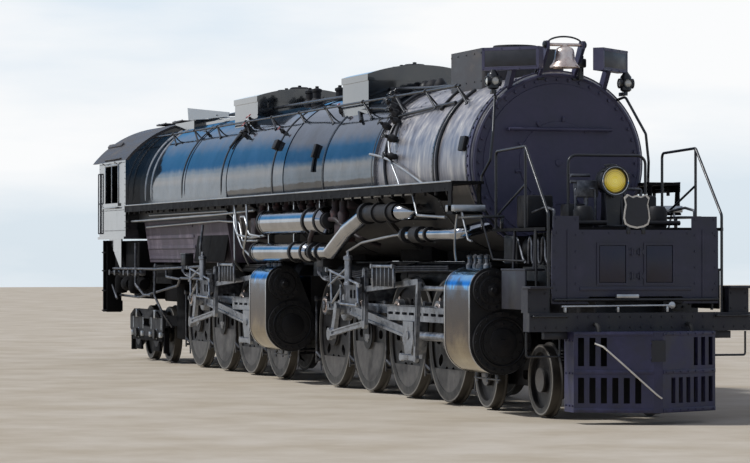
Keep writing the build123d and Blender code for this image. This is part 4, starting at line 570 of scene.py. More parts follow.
def bar(bm, start, end, radius, end_radius=None, segments=10):
    """A round bar between two places, or a cone where it ends with another radius."""
    bmesh.ops.create_cone(
        bm, cap_ends=True, segments=segments, radius1=radius, radius2=radius if end_radius is None else end_radius,
        depth=(end - start).length, matrix=Matrix.Translation((start + end) / 2) @ facing(end - start),
    )


def block(bm, middle, size, bevel=0.004, turn=Matrix()):
    """A box about its middle with eased edges."""
    place = Matrix.Translation(middle) @ turn @ Matrix.Diagonal((*size, 1))
    corners = bmesh.ops.create_cube(bm, size=1, matrix=place)["verts"]
    edges = list({edge for corner in corners for edge in corner.link_edges})
    bmesh.ops.bevel(
        bm, geom=edges, offset=bevel, offset_type="OFFSET", affect="EDGES", segments=2, profile=0.5, material=-1,
    )


def plate(bm, corners, thickness):
    """A flat plate between its corners, thickened by a vector."""
    face = bm.faces.new([bm.verts.new(corner) for corner in corners])
    made = bmesh.ops.extrude_face_region(bm, geom=[face])["geom"]
    bmesh.ops.translate(bm, vec=thickness, verts=[v for v in made if isinstance(v, bmesh.types.BMVert)])


def turned(bm, profile, place, axis, segments=20):
    """A round piece on an axis through a place: its profile is (radius, distance along the axis) points."""
    stand = Matrix.Translation(place) @ facing(axis)
    points = [bm.verts.new(stand @ Vector((radius, 0, distance))) for radius, distance in profile]
    lines = [bm.edges.new(pair) for pair in zip(points, points[1:])]
    bmesh.ops.spin(bm, geom=points + lines, cent=place, axis=axis, angle=math.tau, steps=segments, use_merge=True)


def bolts(bm, places, out, radius=0.016, height=0.014):
    """Hexagon heads standing out from a surface, sunk a little into it."""
    out = Vector(out).normalized()
    for place in places:
        bar(bm, place - 0.004 * out, place + height * out, radius, segments=6)


def ring(middle, radius, count, start=0.0, upright=False):
    """Places round a circle across the engine, or along it if upright."""
    angles = [start + math.tau * i / count for i in range(count)]
    if upright:
        return [middle + radius * Vector((math.cos(a), 0, math.sin(a))) for a in angles]
    return [middle + radius * Vector((0, math.cos(a), math.sin(a))) for a in angles]


def on_boiler(station, angle, radius):
    """A place round the boiler: the angle is in degrees up from its right side."""
    a = math.radians(angle)
    return at(station, -radius * math.cos(a), BOILER_AXIS + radius * math.sin(a))


def both_sides(bm):
    """Adds the mirror image of everything on the engine's other side."""
    bmesh.ops.mirror(bm, geom=bm.verts[:] + bm.edges[:] + bm.faces[:], matrix=Matrix(), merge_dist=0, axis="Y")


def piece(name, bm, material, body, sharp=40, mirrored=False):
    """Finishes a mesh as a piece that rides on a body, on both sides of the engine if mirrored."""
    if mirrored:
        both_sides(bm)
    bmesh.ops.remove_doubles(bm, verts=bm.verts[:], dist=0.00002)
    bmesh.ops.recalc_face_normals(bm, faces=bm.faces[:])
    mesh = bpy.data.meshes.new(name)
    bm.to_mesh(mesh)
    bm.free()
    mesh.shade_smooth()
    mesh.set_sharp_from_angle(angle=math.radians(sharp))
    mesh.materials.append(material)
    made = bpy.data.objects.new(name, mesh)
    bpy.context.scene.collection.objects.link(made)
    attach(made, body)
    return made


def bent(bend, *corners):
    """A route through (station, y, height) corners, each cut between two points a bend's length from it."""
    places = [at(*corner) for corner in corners]
    route = [places[0]]
    for before, corner, after in zip(places, places[1:], places[2:]):
        route += [corner + bend * (before - corner).normalized(), corner, corner + bend * (after - corner).normalized()]
    return route + [places[-1]]


def pipes(name, routes, radius, material, body, mirrored=True):
    """Bent pipes, rods and hoses as one curve, on both sides of the engine if mirrored."""
    curve = bpy.data.curves.new(name, "CURVE")
    curve.dimensions = "3D"
    curve.bevel_depth = radius
    curve.bevel_resolution = 2
    curve.resolution_u = 5
    curve.use_fill_caps = True
    if mirrored:
        routes = routes + [[Vector((p.x, -p.y, p.z)) for p in route] for route in routes]
    for route in routes:
        spline = curve.splines.new("NURBS")
        spline.points.add(len(route) - 1)
        for point, place in zip(spline.points, route):
            point.co = (*place, 1)
        spline.order_u = 3
        spline.use_endpoint_u = True
    curve.materials.append(material)
    made = bpy.data.objects.new(name, curve)
    bpy.context.scene.collection.objects.link(made)
    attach(made, body)
    return made


# Smokebox front: clamps and bolts round the door, hinges, marker lamps and blank number plates

def smokebox_fittings():
    """The door's rings, clamps and bolts, the front ring's flange, and rows of rivets round the smokebox."""
    bm = bmesh.new()
    turned(
        bm, ((1.178, 0), (1.186, 0.004), (1.196, 0.018), (1.19, 0.032), (1.165, 0.042), (1.15, 0.036), (1.148, 0.0)),
        at(16.52, 0, BOILER_AXIS), AHEAD, 96,
    )
    bolts(bm, ring(at(16.55, 0, BOILER_AXIS), 1.115, 44), AHEAD, 0.024, 0.026)
    door = at(16.583, 0, BOILER_AXIS)
    for place in ring(door, 0.585, 10, 0.2):
        spoke = (place - door).normalized()
        block(
            bm, place, (0.016, 0.035, 0.075), 0.005,
            Matrix.Rotation(math.atan2(spoke.z, spoke.y) - math.pi / 2, 4, "X"),
        )
    turned(bm, ((0, 0), (0.05, 0), (0.045, 0.012), (0, 0.016)), at(16.576, 0, BOILER_AXIS), AHEAD)
    for y in (-0.6, 0.0, 0.6):
        block(bm, at(16.62, y, 3.73), (0.1, 0.035, 0.035), 0.006)
    # the front ring's flange, with its bolts set round the smokebox
    turned(
        bm, ((SMOKEBOX, -0.16), (1.222, -0.15), (1.222, -0.05), (1.24, -0.04), (1.24, 0.0), (1.18, 0.0)),
        at(SMOKEBOX_FRONT, 0, BOILER_AXIS), AHEAD, 96,
    )
    for angle in range(-50, 231, 6):
        place = on_boiler(16.4, angle, 1.222)
        bolts(bm, [place], place - at(16.4, 0, BOILER_AXIS), 0.018, 0.025)
    piece("smokebox_door_clamps", bm, front_paint, BOILER)

    bm = bmesh.new()
    for station in (12.36, 13.2, 14.85, 16.34):
        for angle in range(-60, 241, 4):
            place = on_boiler(station, angle, SMOKEBOX + 0.002)
            out = place - at(station, 0, BOILER_AXIS)
            turned(bm, ((0.014, -0.002), (0.011, 0.006), (0, 0.009)), place, out, 6)
    piece("smokebox_rivets", bm, chalk_graphite, BOILER)


def marker_lamps():
    """A lamp on each side of the smokebox front, with lenses ahead, to the right and to the left."""
    bm, lens = bmesh.new(), bmesh.new()
    middle = at(16.63, -0.945, 4.36)
    turned(
        bm, ((0, -0.11), (0.05, -0.11), (0.075, -0.09), (0.075, 0.09), (0.06, 0.11), (0.03, 0.15), (0, 0.155)), middle,
        UP,
    )
    for look in (AHEAD, RIGHT, -RIGHT):
        turned(bm, ((0.068, 0.06), (0.068, 0.1), (0.055, 0.1), (0.055, 0.085)), middle, look)
        turned(lens, ((0.056, 0.08), (0.045, 0.092), (0.025, 0.099), (0, 0.101)), middle, look, 14)
    block(bm, at(16.56, -0.92, 4.22), (0.16, 0.04, 0.05))
    bar(bm, at(16.63, -0.94, 4.2), at(16.63, -0.945, 4.27), 0.03)
    piece("marker_lamps", bm, rail_enamel, BOILER, mirrored=True)
    piece("marker_lamp_lenses", lens, clear_lens, BOILER, mirrored=True)


def number_faces():
    """Black faces with rims in the front's paint in the number boards' frames, and louvres behind them. They stay
    blank.
    """
    face, rim, back = bmesh.new(), bmesh.new(), bmesh.new()
    turn = Matrix.Rotation(math.radians(-45), 4, "Z")
    out = Vector((1, -1, 0)).normalized()
    middle = at(16.75, -0.75, 4.66)
    block(face, middle - 0.006 * out, (0.008, 0.76, 0.232), 0.002, turn)
    for y, z, size in (
        (0, 0.113, (0.008, 0.77, 0.012)), (0, -0.113, (0.008, 0.77, 0.012)), (0.379, 0, (0.008, 0.012, 0.238)),
        (-0.379, 0, (0.008, 0.012, 0.238)),
    ):
        block(rim, middle + turn @ Vector((-0.004, y, z)), size, 0.002, turn)
    for i in range(7):
        block(back, middle - 0.157 * out + turn @ Vector((0, 0, 0.105 - 0.035 * i)), (0.018, 0.7, 0.008), 0.002, turn)
    bolts(
        back, [middle + turn @ Vector((0, y, z)) for y in (-0.4, -0.13, 0.13, 0.4) for z in (-0.136, 0.136)], out,
        0.009, 0.008,
    )
    piece("number_board_faces", face, plate_black, BOILER, mirrored=True)
    piece("number_board_rims", rim, front_paint, BOILER, mirrored=True)
    piece("number_board_louvres", back, front_paint, BOILER, mirrored=True)


def bell_fittings():
    """The bell with its true waist, lip and crown, its clapper, and the bearings and arch that carry it."""
    bm = bmesh.new()
    turned(bm, (
        (0.192, 0.0), (0.2, 0.002), (0.203, 0.012), (0.198, 0.024), (0.178, 0.045), (0.158, 0.075), (0.142, 0.115),
        (0.134, 0.16), (0.13, 0.205), (0.122, 0.24), (0.1, 0.268), (0.06, 0.285), (0.045, 0.29), (0.045, 0.312),
        (0.02, 0.318), (0, 0.318),
    ), BELL_FOOT, UP, 40)
    turned(bm, (
        (0.192, 0.0), (0.168, 0.04), (0.148, 0.075), (0.132, 0.115), (0.12, 0.2), (0.09, 0.25), (0, 0.26),
    ), BELL_FOOT, UP, 40)
    bar(bm, at(16.8, -0.25, 4.85), at(16.8, 0.25, 4.85), 0.022)
    bar(bm, at(16.8, 0, 4.8), at(16.8, 0, 4.57), 0.012)
    turned(bm, ((0, -0.035), (0.03, -0.02), (0.035, 0), (0.03, 0.02), (0, 0.035)), at(16.8, 0, 4.59), UP, 12)
    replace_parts(piece("bell_waist_and_clapper", bm, bell_bronze, "bell"), "bell")
    bm = bmesh.new()
    block(bm, at(16.62, 0.3, 4.62), (0.14, 0.12, 0.12), 0.02)
    bar(bm, at(16.62, 0.3, 4.4), at(16.62, 0.3, 4.72), 0.04)
    for side in (-1, 1):
        turned(
            bm, ((0, 0), (0.05, 0), (0.05, 0.02), (0.03, 0.035), (0, 0.035)), at(16.8, side * 0.271, 4.85),
            (0, side, 0),
        )
        bolts(bm, [at(16.8 + x, side * 0.271, 4.87) for x in (-0.045, 0.045)], (0, side, 0), 0.01)
        block(bm, at(16.5, side * 0.25, 4.41), (0.18, 0.09, 0.03), 0.006)
        bar(bm, at(16.75, side * 0.25, 4.80), at(16.45, side * 0.3, 4.46), 0.016)
    piece("bell_bearings", bm, rail_enamel, BOILER)
    pipes(
        "bell_arch",
        [[at(16.8, 0.25 * math.cos(math.pi * i / 8), 4.86 + 0.1 * math.sin(math.pi * i / 8)) for i in range(9)]], 0.012,
        rail_enamel, BOILER, mirrored=False,
    )


# Front deck: headlight, emblem plate, shield, beam, pilot, hoses and steps

def headlight_fittings():
    """The lens, its chrome rim, the rings and brackets of the body, and the conduit behind it."""
    bm = bmesh.new()
    turned(
        bm, ((0.0, -0.0235), (0.05, -0.018), (0.1, -0.0185), (0.148, -0.0235), (0.15, -0.0245), (0, -0.0245)), LAMP,
        AHEAD, 40,
    )
    piece("headlight_lens", bm, lens_finish(), FRONT, sharp=60)
    bm = bmesh.new()
    turned(bm, ((0.163, -0.024), (0.168, -0.002), (0.176, 0.003), (0.184, -0.004), (0.186, -0.02)), LAMP, AHEAD, 40)
    piece("headlight_rim", bm, chrome, FRONT)
    bm = bmesh.new()
    turned(bm, ((0.186, -0.022), (0.197, -0.012), (0.2, -0.03), (0.2, -0.05), (0.19, -0.056)), LAMP, AHEAD, 40)
    for angle in (0.4, 2.5, 4.6):
        place = at(18.58, 0.205 * math.cos(angle), 3.0 + 0.205 * math.sin(angle))
        block(bm, place, (0.05, 0.03, 0.02), 0.004, Matrix.Rotation(angle, 4, "X"))
    for x in (18.34, 18.39, 18.44, 18.49):
        turned(bm, ((0.172, 0), (0.18, 0.006), (0.172, 0.012)), at(x, 0, 3.0), AHEAD, 32)
    turned(bm, ((0.06, 0), (0.06, 0.03), (0.085, 0.035), (0.085, 0.05), (0, 0.065)), at(18.42, 0, 3.16), UP)
    block(bm, at(18.45, 0, 2.425), (0.32, 0.36, 0.03))
    bolts(bm, [at(18.45 + x, y, 2.44) for x in (-0.13, 0.13) for y in (-0.15, 0.15)], UP)
    for y in (-0.105, 0.105):
        plate(bm, [at(18.33, y, 2.44), at(18.57, y, 2.44), at(18.5, y, 2.8), at(18.4, y, 2.8)], Vector((0, 0.012, 0)))
    piece("headlight_body_rings", bm, rail_enamel, FRONT)
    pipes(
        "headlight_conduit", [bent(0.08, (18.3, 0, 3.0), (18.15, 0, 3.0), (18.15, 0.0, 2.42))], 0.014, rail_enamel,
        FRONT, mirrored=False,
    )


def emblem_outline(middle, size):
    """Places round a shield-shaped plate across the engine: a cusped top, bowed sides and a blunt point."""
    half = (
        # distance out, height
        (0.0, 0.205), (0.06, 0.185), (0.125, 0.215), (0.172, 0.17), (0.15, 0.09), (0.168, 0.0), (0.178, -0.09),
        (0.155, -0.165), (0.1, -0.195), (0.0, -0.215),
    )
    return [middle + size * Vector((0, y, z)) for y, z in half] + [
        middle + size * Vector((0, -y, z)) for y, z in half[-2:0:-1]
    ]


def emblem_plate():
    """A plain plate with a pale rim, on posts at the deck's front edge. It stays blank."""
    rim, face, post = bmesh.new(), bmesh.new(), bmesh.new()
    middle = at(19.29, 0, 2.60)
    plate(rim, emblem_outline(middle, 1.0), Vector((0.012, 0, 0)))
    plate(face, emblem_outline(middle + Vector((0.009, 0, 0)), 0.89), Vector((0.007, 0, 0)))
    for y in (-0.1, 0.1):
        bar(post, at(19.27, y, 2.32), at(19.27, y, 2.72), 0.014)
        block(post, at(19.26, y, 2.36), (0.03, 0.05, 0.08))
    piece("emblem_plate_rim", rim, plate_white, FRONT)
    piece("emblem_plate_face", face, plate_black, FRONT)
    piece("emblem_plate_posts", post, rail_enamel, FRONT)


def shield_fittings():
    """Bolts, hinges and panel sheets on the shield, with the uncoupling lever and a pipe below it."""
    bm = bmesh.new()
    face = 19.265
    rows = [at(face, y, z) for z in (1.62, 2.33) for y in (-1.05, -0.7, -0.35, 0, 0.35, 0.7, 1.05)]
    rows += [at(face, side * y, z) for side in (-1, 1) for y in (1.08, 0.8) for z in (1.5, 1.7, 1.9, 2.1, 2.3)]
    rows += [at(face, side * (0.93 + y), 2.5) for side in (-1, 1) for y in (-0.13, 0.13)]
    bolts(bm, rows, AHEAD, 0.013, 0.01)
    for side in (-1, 1):
        for z in (1.795, 2.095):
            knuckle = at(face + 0.016, side * 0.055, z)
            bar(bm, knuckle - 0.045 * UP, knuckle + 0.045 * UP, 0.014)
            bolts(
                bm, [at(face + 0.012, side * y, z + dz) for y in (0.03, 0.09) for dz in (-0.02, 0.02)], AHEAD, 0.007,
                0.006,
            )
    block(bm, at(face + 0.006, 0, 1.635), (0.012, 1.5, 0.05), 0.004)
    piece("shield_bolts_and_hinges", bm, satin_paint, FRONT)
    bm = bmesh.new()
    for side in (-1, 1):
        block(bm, at(face + 0.002, side * 0.315, 1.945), (0.012, 0.345, 0.455), 0.004)
    piece("shield_panel_sheets", bm, panel_paint, FRONT)
    bm = bmesh.new()
    block(bm, at(19.4, -0.17, 1.545), (0.05, 0.3, 0.05), 0.01)
    bar(bm, at(19.42, -1.05, 1.42), at(19.42, 0.42, 1.43), 0.013)
    for y in (-1.0, -0.3, 0.36):
        block(bm, at(19.4, y, 1.39), (0.05, 0.03, 0.09), 0.006)
    turned(bm, ((0, 0), (0.04, 0), (0.045, 0.015), (0.02, 0.035), (0, 0.035)), at(19.41, 0.42, 1.43), AHEAD)
    piece("uncoupling_lever", bm, worn_aluminium, FRONT)
    pipes("beam_pipes", [
        bent(0.08, (19.3, -1.1, 1.5), (19.34, -0.6, 1.5), (19.34, 0.6, 1.5), (19.3, 1.1, 1.5)),
    ], 0.02, rail_enamel, FRONT, mirrored=False)


def beam_fittings():
    """Bolts and step plates on the beam, grab loops, hoses, and the rod and back sheet of the pilot."""
    front = 19.44
    bm = bmesh.new()
    bolts(bm, [at(front, y, z) for y in [0.14 * i - 1.4 for i in range(21)] for z in (1.16, 1.29)], AHEAD, 0.014, 0.012)
    for side in (-1, 1):
        block(bm, at(19.36, side * 1.345, 1.655), (0.3, 0.3, 0.03))
        bolts(bm, [at(19.38, side * (1.345 + y), 1.64 - z) for y in (-0.1, 0.1) for z in (0.06, 0.25)], AHEAD, 0.012)
        block(bm, at(19.3, side * 1.0, 1.06), (0.1, 0.5, 0.09))
        # a step plate that hangs between the cylinder and the beam
        block(bm, at(18.43, side * 1.31, 1.62), (0.86, 0.03, 0.5), 0.01)
        block(bm, at(18.43, side * 1.2, 1.87), (0.9, 0.26, 0.03), 0.008)
        for x in (18.05, 18.8):
            bar(bm, at(x, side * 1.18, 1.88), at(x, side * 1.16, 2.37), 0.02)
    piece("beam_bolts_and_step_plates", bm, beam_paint, FRONT)
    pipes("grab_loops", [
        bent(0.06, (19.3, -1.47, 1.1), (19.3, -1.47, 0.8), (19.3, -1.03, 0.8), (19.3, -1.03, 1.1)),
        bent(0.03, (19.44, -1.44, 1.3), (19.5, -1.44, 1.3), (19.5, -1.0, 1.3), (19.44, -1.0, 1.3)),
    ], 0.014, rail_enamel, FRONT)
    pipes("train_line_hoses", [[
        at(19.42, -0.62, 1.2), at(19.54, -0.62, 1.2), at(19.6, -0.62, 1.12), at(19.6, -0.64, 0.9),
        at(19.56, -0.66, 0.68), at(19.56, -0.66, 0.6),
    ]], 0.026, rubber, FRONT)
    pipes(
        "uncoupling_rod",
        [
            bent(
                0.04, (19.70, -0.72, 0.97), (19.78, -0.64, 0.93), (19.88, -0.4, 0.70), (20.0, -0.02, 0.34),
                (20.0, 0.04, 0.3),
            ),
        ],
        0.012, plate_white, FRONT, mirrored=False,
    )
    bm = bmesh.new()
    block(bm, at(19.275, 0, 0.61), (0.03, 1.8, 0.92), 0.004)
    piece("pilot_back_sheet", bm, cast_steel, FRONT)


def pilot_fittings():
    """The rim strips and bolts of the pilot's faces, with the edges of its coupler's jaw."""
    bm = bmesh.new()
    shoulder, nose = at(19.56, -0.945, 0), at(19.985, -0.06, 0)
    run = (nose - shoulder).normalized()
    out = Vector((run.y, -run.x, 0))
    turn = Matrix.Rotation(math.atan2(run.y, run.x), 4, "Z")
    length = (nose - shoulder).length
    for z, tall in ((0.15, 0.05), (0.62, 0.05), (1.085, 0.04)):
        block(bm, shoulder + run * length / 2 + out * 0.004 + UP * z, (length - 0.01, 0.012, tall), 0.003, turn)
        bolts(
            bm, [shoulder + run * d + out * 0.01 + UP * z for d in (0.05, 0.24, 0.38, 0.52, 0.66, 0.8, 0.93)], out,
            0.01, 0.009,
        )
    for z in (0.2, 0.6, 1.0):
        bolts(bm, [at(x, -0.945, z) for x in (19.3, 19.42, 19.52)], RIGHT, 0.012)
    both_sides(bm)
    for z in (0.79, 0.97):
        block(bm, at(19.94, 0, z), (0.1, 0.2, 0.03), 0.006)
    bar(bm, at(19.95, 0.06, 0.74), at(19.95, 0.06, 1.02), 0.025)
    piece("pilot_strips", bm, pilot_paint, FRONT)


def deck_fittings():
    """Steps and braces at the deck's sides, the pumps' bolts and fins, machinery and coils, and the lamp's bracket."""
    post_y = 1.165
    bm = bmesh.new()
    for side in (-1, 1):
        bar(bm, at(18.9, side * 1.19, 1.36), at(18.9, side * 1.19, 2.38), 0.018)
        # board ahead of the running board's end, hung from the deck
        block(bm, at(17.33, side * 1.37, 2.55), (1.0, 0.3, 0.03))
        for x in (16.96, 17.7):
            block(bm, at(x, side * 1.21, 2.47), (0.03, 0.04, 0.15))
        bar(bm, at(17.72, side * 1.5, 2.54), at(17.95, side * 1.42, 2.0), 0.012)
        bar(bm, at(17.95, side * 1.42, 2.0), at(18.5, side * 1.2, 1.98), 0.012)
        bar(bm, at(18.45, side * post_y, 3.43), at(18.45, side * post_y, 2.38), 0.018)
        bar(bm, at(17.35, side * post_y, 2.55), at(18.45, side * post_y, 2.95), 0.015)
    piece("deck_steps", bm, rail_enamel, FRONT)
    bm = bmesh.new()
    for side in (-1, 1):
        pump = at(18.85, side * 0.82, 0)
        for z, radius in ((1.96, 0.23), (2.3, 0.23), (1.5, 0.195), (1.875, 0.195)):
            for i in range(16):
                a = math.tau * i / 16
                bar(
                    bm, pump + Vector((radius * math.cos(a), radius * math.sin(a), z - 0.03)),
                    pump + Vector((radius * math.cos(a), radius * math.sin(a), z + 0.04)), 0.011, segments=6,
                )
        for i in range(6):
            turned(bm, ((0.191, 0), (0.205, 0.006), (0.191, 0.012)), pump + UP * (1.55 + 0.05 * i), UP, 28)
    piece("pump_bolts_and_fins", bm, cast_steel, FRONT)
    bm = bmesh.new()
    for side in (-1, 1):
        block(bm, at(18.25, side * 0.6, 1.93), (1.85, 0.03, 0.84), 0.006)
        block(bm, at(17.7, side * 0.95, 2.12), (0.5, 0.3, 0.36), 0.03)
        turned(
            bm, ((0, -0.3), (0.12, -0.28), (0.16, -0.2), (0.16, 0.2), (0.12, 0.28), (0, 0.3)),
            at(18.25, side * 0.9, 2.16), AHEAD, 20,
        )
        # machinery on the deck: two boxes, a drum and a cross pipe
        block(bm, at(17.6, side * 0.72, 2.62), (0.42, 0.36, 0.42), 0.03)
        block(bm, at(18.2, side * 0.42, 2.56), (0.3, 0.26, 0.3), 0.03)
        turned(
            bm, ((0, -0.16), (0.1, -0.15), (0.13, -0.1), (0.13, 0.1), (0.1, 0.15), (0, 0.16)),
            at(18.75, side * 0.5, 2.52), UP, 18,
        )
        bar(bm, at(18.9, side * 0.25, 2.46), at(18.9, side * 0.75, 2.46), 0.03)
    piece("deck_machinery", bm, cast_steel, FRONT)
    pipes("deck_coils", [
        [at(18.35 + 0.06 * i, -1.08 - 0.03 * (i % 2), 1.95 + (0.33 if i % 4 in (1, 2) else 0.0)) for i in range(13)],
        bent(0.08, (17.4, -1.05, 2.3), (18.0, -1.1, 2.28), (18.2, -1.1, 2.0), (18.3, -1.1, 1.95)),
        bent(0.06, (18.4, -0.2, 2.46), (18.4, -0.2, 2.9), (18.35, -0.45, 2.9), (18.35, -0.45, 2.45)),
        bent(0.06, (18.9, -0.95, 2.45), (18.9, -0.95, 2.62), (18.6, -0.95, 2.66), (18.0, -0.9, 2.6)),
    ], 0.018, worn_steel, FRONT)
    bm = bmesh.new()
    for y, z in ((-0.4, 3.07), (-0.4, 2.99)):
        bar(bm, at(18.36, y - 0.12, z), at(18.36, y + 0.14, z), 0.022)
    block(bm, at(18.33, -0.3, 2.9), (0.14, 0.3, 0.22), 0.02)
    bar(bm, at(18.33, -0.3, 2.42), at(18.33, -0.3, 2.8), 0.03)
    piece("lamp_bracket", bm, worn_steel, FRONT)


smokebox_fittings()
marker_lamps()
number_faces()
bell_fittings()
headlight_fittings()
emblem_plate()
shield_fittings()
beam_fittings()
pilot_fittings()
deck_fittings()


# Boiler: bands, valves and their pipes

def arc_on_boiler(station, start, end, radius, drift=0.0):
    """Places round the boiler's right side between two angles, moving along it by the drift."""
    count = max(2, int(abs(end - start) / 9))
    return [on_boiler(station + drift * i / count, start + (end - start) * i / count, radius) for i in range(count + 1)]


def boiler_bands():
    """Two bright bands at the firebox, and dark ones over the jacket's seams and round the smokebox."""
    bright, dark = bmesh.new(), bmesh.new()
    for bm, station, radius in (
        (bright, -2.27, JACKET), (bright, -1.77, JACKET), (dark, 0.72, JACKET), (dark, 3.62, JACKET),
        (dark, 6.95, JACKET), (dark, 9.62, FRONT_COURSE), (dark, 12.2, FRONT_COURSE), (dark, 14.9, SMOKEBOX),
        (dark, 16.3, SMOKEBOX),
    ):
        turned(
            bm, ((radius, -0.03), (radius + 0.012, -0.024), (radius + 0.012, 0.024), (radius, 0.03)),
            at(station, 0, BOILER_AXIS), AHEAD, 96,
        )
    piece("bright_boiler_bands", bright, worn_aluminium, BOILER, sharp=25)
    piece("dark_boiler_bands", dark, rail_enamel, BOILER, sharp=25)


def globe_valve(bm, wheel, place, out, size):
    """A valve body with its bonnet, spindle and hand wheel standing out from the boiler."""
    out = Vector(out).normalized()
    turned(
        bm,
        (
            (0, -1.2 * size), (0.8 * size, -0.9 * size), (1.2 * size, 0), (0.8 * size, 0.9 * size),
            (0.5 * size, 1.2 * size), (0.5 * size, 1.8 * size), (0.2 * size, 2 * size), (0.2 * size, 2.4 * size),
            (0, 2.4 * size),
        ),
        place, out, 14,
    )
    turned(
        wheel,
        (
            (1.0 * size, 2.3 * size), (1.12 * size, 2.4 * size), (1.0 * size, 2.5 * size), (0.88 * size, 2.4 * size),
            (1.0 * size, 2.3 * size),
        ),
        place, out, 16,
    )
    across = out.orthogonal().normalized()
    for turn in (0, 60, 120):
        spoke = Matrix.Rotation(math.radians(turn), 3, out) @ across
        bar(
            wheel, place + 2.4 * size * out - size * spoke, place + 2.4 * size * out + size * spoke, 0.1 * size,
            segments=6,
        )


def boiler_valves():
    """Check valves in a cluster on the smokebox's rear with their pipes, and the valves along the jacket."""
    bm, wheel, plain = bmesh.new(), bmesh.new(), bmesh.new()
    for station, angle, size, wheels in (
        (11.62, 60, 0.05, plain), (11.85, 54, 0.06, plain), (12.1, 46, 0.05, plain), (12.35, 44, 0.075, plain),
        (12.62, 39, 0.06, plain), (12.85, 33, 0.05, plain), (12.5, 30, 0.05, plain), (13.08, 20, 0.055, plain),
        (13.25, 8, 0.05, plain), (4.06, 51, 0.055, wheel), (4.15, 44, 0.045, wheel), (4.3, 38, 0.04, plain),
        (9.2, 52, 0.05, wheel), (6.82, 36, 0.035, wheel), (1.1, 47, 0.03, plain),
    ):
        surface = JACKET if station < TAPER_FRONT else FRONT_COURSE
        place = on_boiler(station, angle, surface + size)
        out = place - at(station, 0, BOILER_AXIS)
        globe_valve(bm, wheels, place, out, size)
        block(bm, place - 0.04 * out.normalized(), (2.4 * size, 1.6 * size, 1.5 * size), 0.015, facing(out))
    for station, angle, reach, size in (
        (6.92, 25, 1.36, (0.2, 0.16, 0.09)), (9.15, 18, 1.29, (0.12, 0.22, 0.07)), (16.18, 12, 1.24, (0.2, 0.2, 0.06)),
    ):
        place = on_boiler(station, angle, reach)
        block(bm, place, size, 0.012, facing(place - at(station, 0, BOILER_AXIS)))
    piece("boiler_valves", bm, cast_steel, BOILER, mirrored=True)
    piece("valve_wheels", wheel, signal_red, BOILER, mirrored=True)
    piece("valve_hand_wheels", plain, rail_enamel, BOILER, mirrored=True)
    pipes("dark_boiler_pipes", [
        arc_on_boiler(12.35, 84, 46, 1.27), arc_on_boiler(12.62, 38, -14, 1.235, drift=0.2),
        arc_on_boiler(11.75, 78, 58, 1.28),
        arc_on_boiler(12.9, 32, 22, 1.25, drift=0.15), arc_on_boiler(9.18, 17, 3, 1.29),
        arc_on_boiler(9.26, 66, 38, 1.28, drift=1.6),
        [on_boiler(12.3, 43, 1.28), on_boiler(11.8, 47, 1.29), on_boiler(11.2, 49, 1.29), on_boiler(9.4, 52, 1.3)],
        arc_on_boiler(4.05, 70, 52, 1.37), arc_on_boiler(3.95, 44, 28, 1.36, drift=-0.2),
        arc_on_boiler(14.14, 66, 40, 1.24, drift=0.35),
        arc_on_boiler(15.1, 58, -12, 1.235),
        [on_boiler(12.75, 38, 1.27), on_boiler(13.6, 42, 1.24), on_boiler(14.9, 45, 1.24)],
    ], 0.024, rail_enamel, BOILER)
    pipes("bright_boiler_pipes", [
        [
            on_boiler(12.16, 11, 1.29), on_boiler(12.7, 9, 1.27), on_boiler(13.32, 4, 1.27),
            on_boiler(14.44, -10, 1.25), at(14.6, -1.25, 3.04),
        ],
        arc_on_boiler(12.95, 18, 2, 1.29, drift=0.35) + [on_boiler(13.5, -8, 1.27), at(13.55, -1.26, 3.04)],
    ], 0.019, worn_aluminium, BOILER)


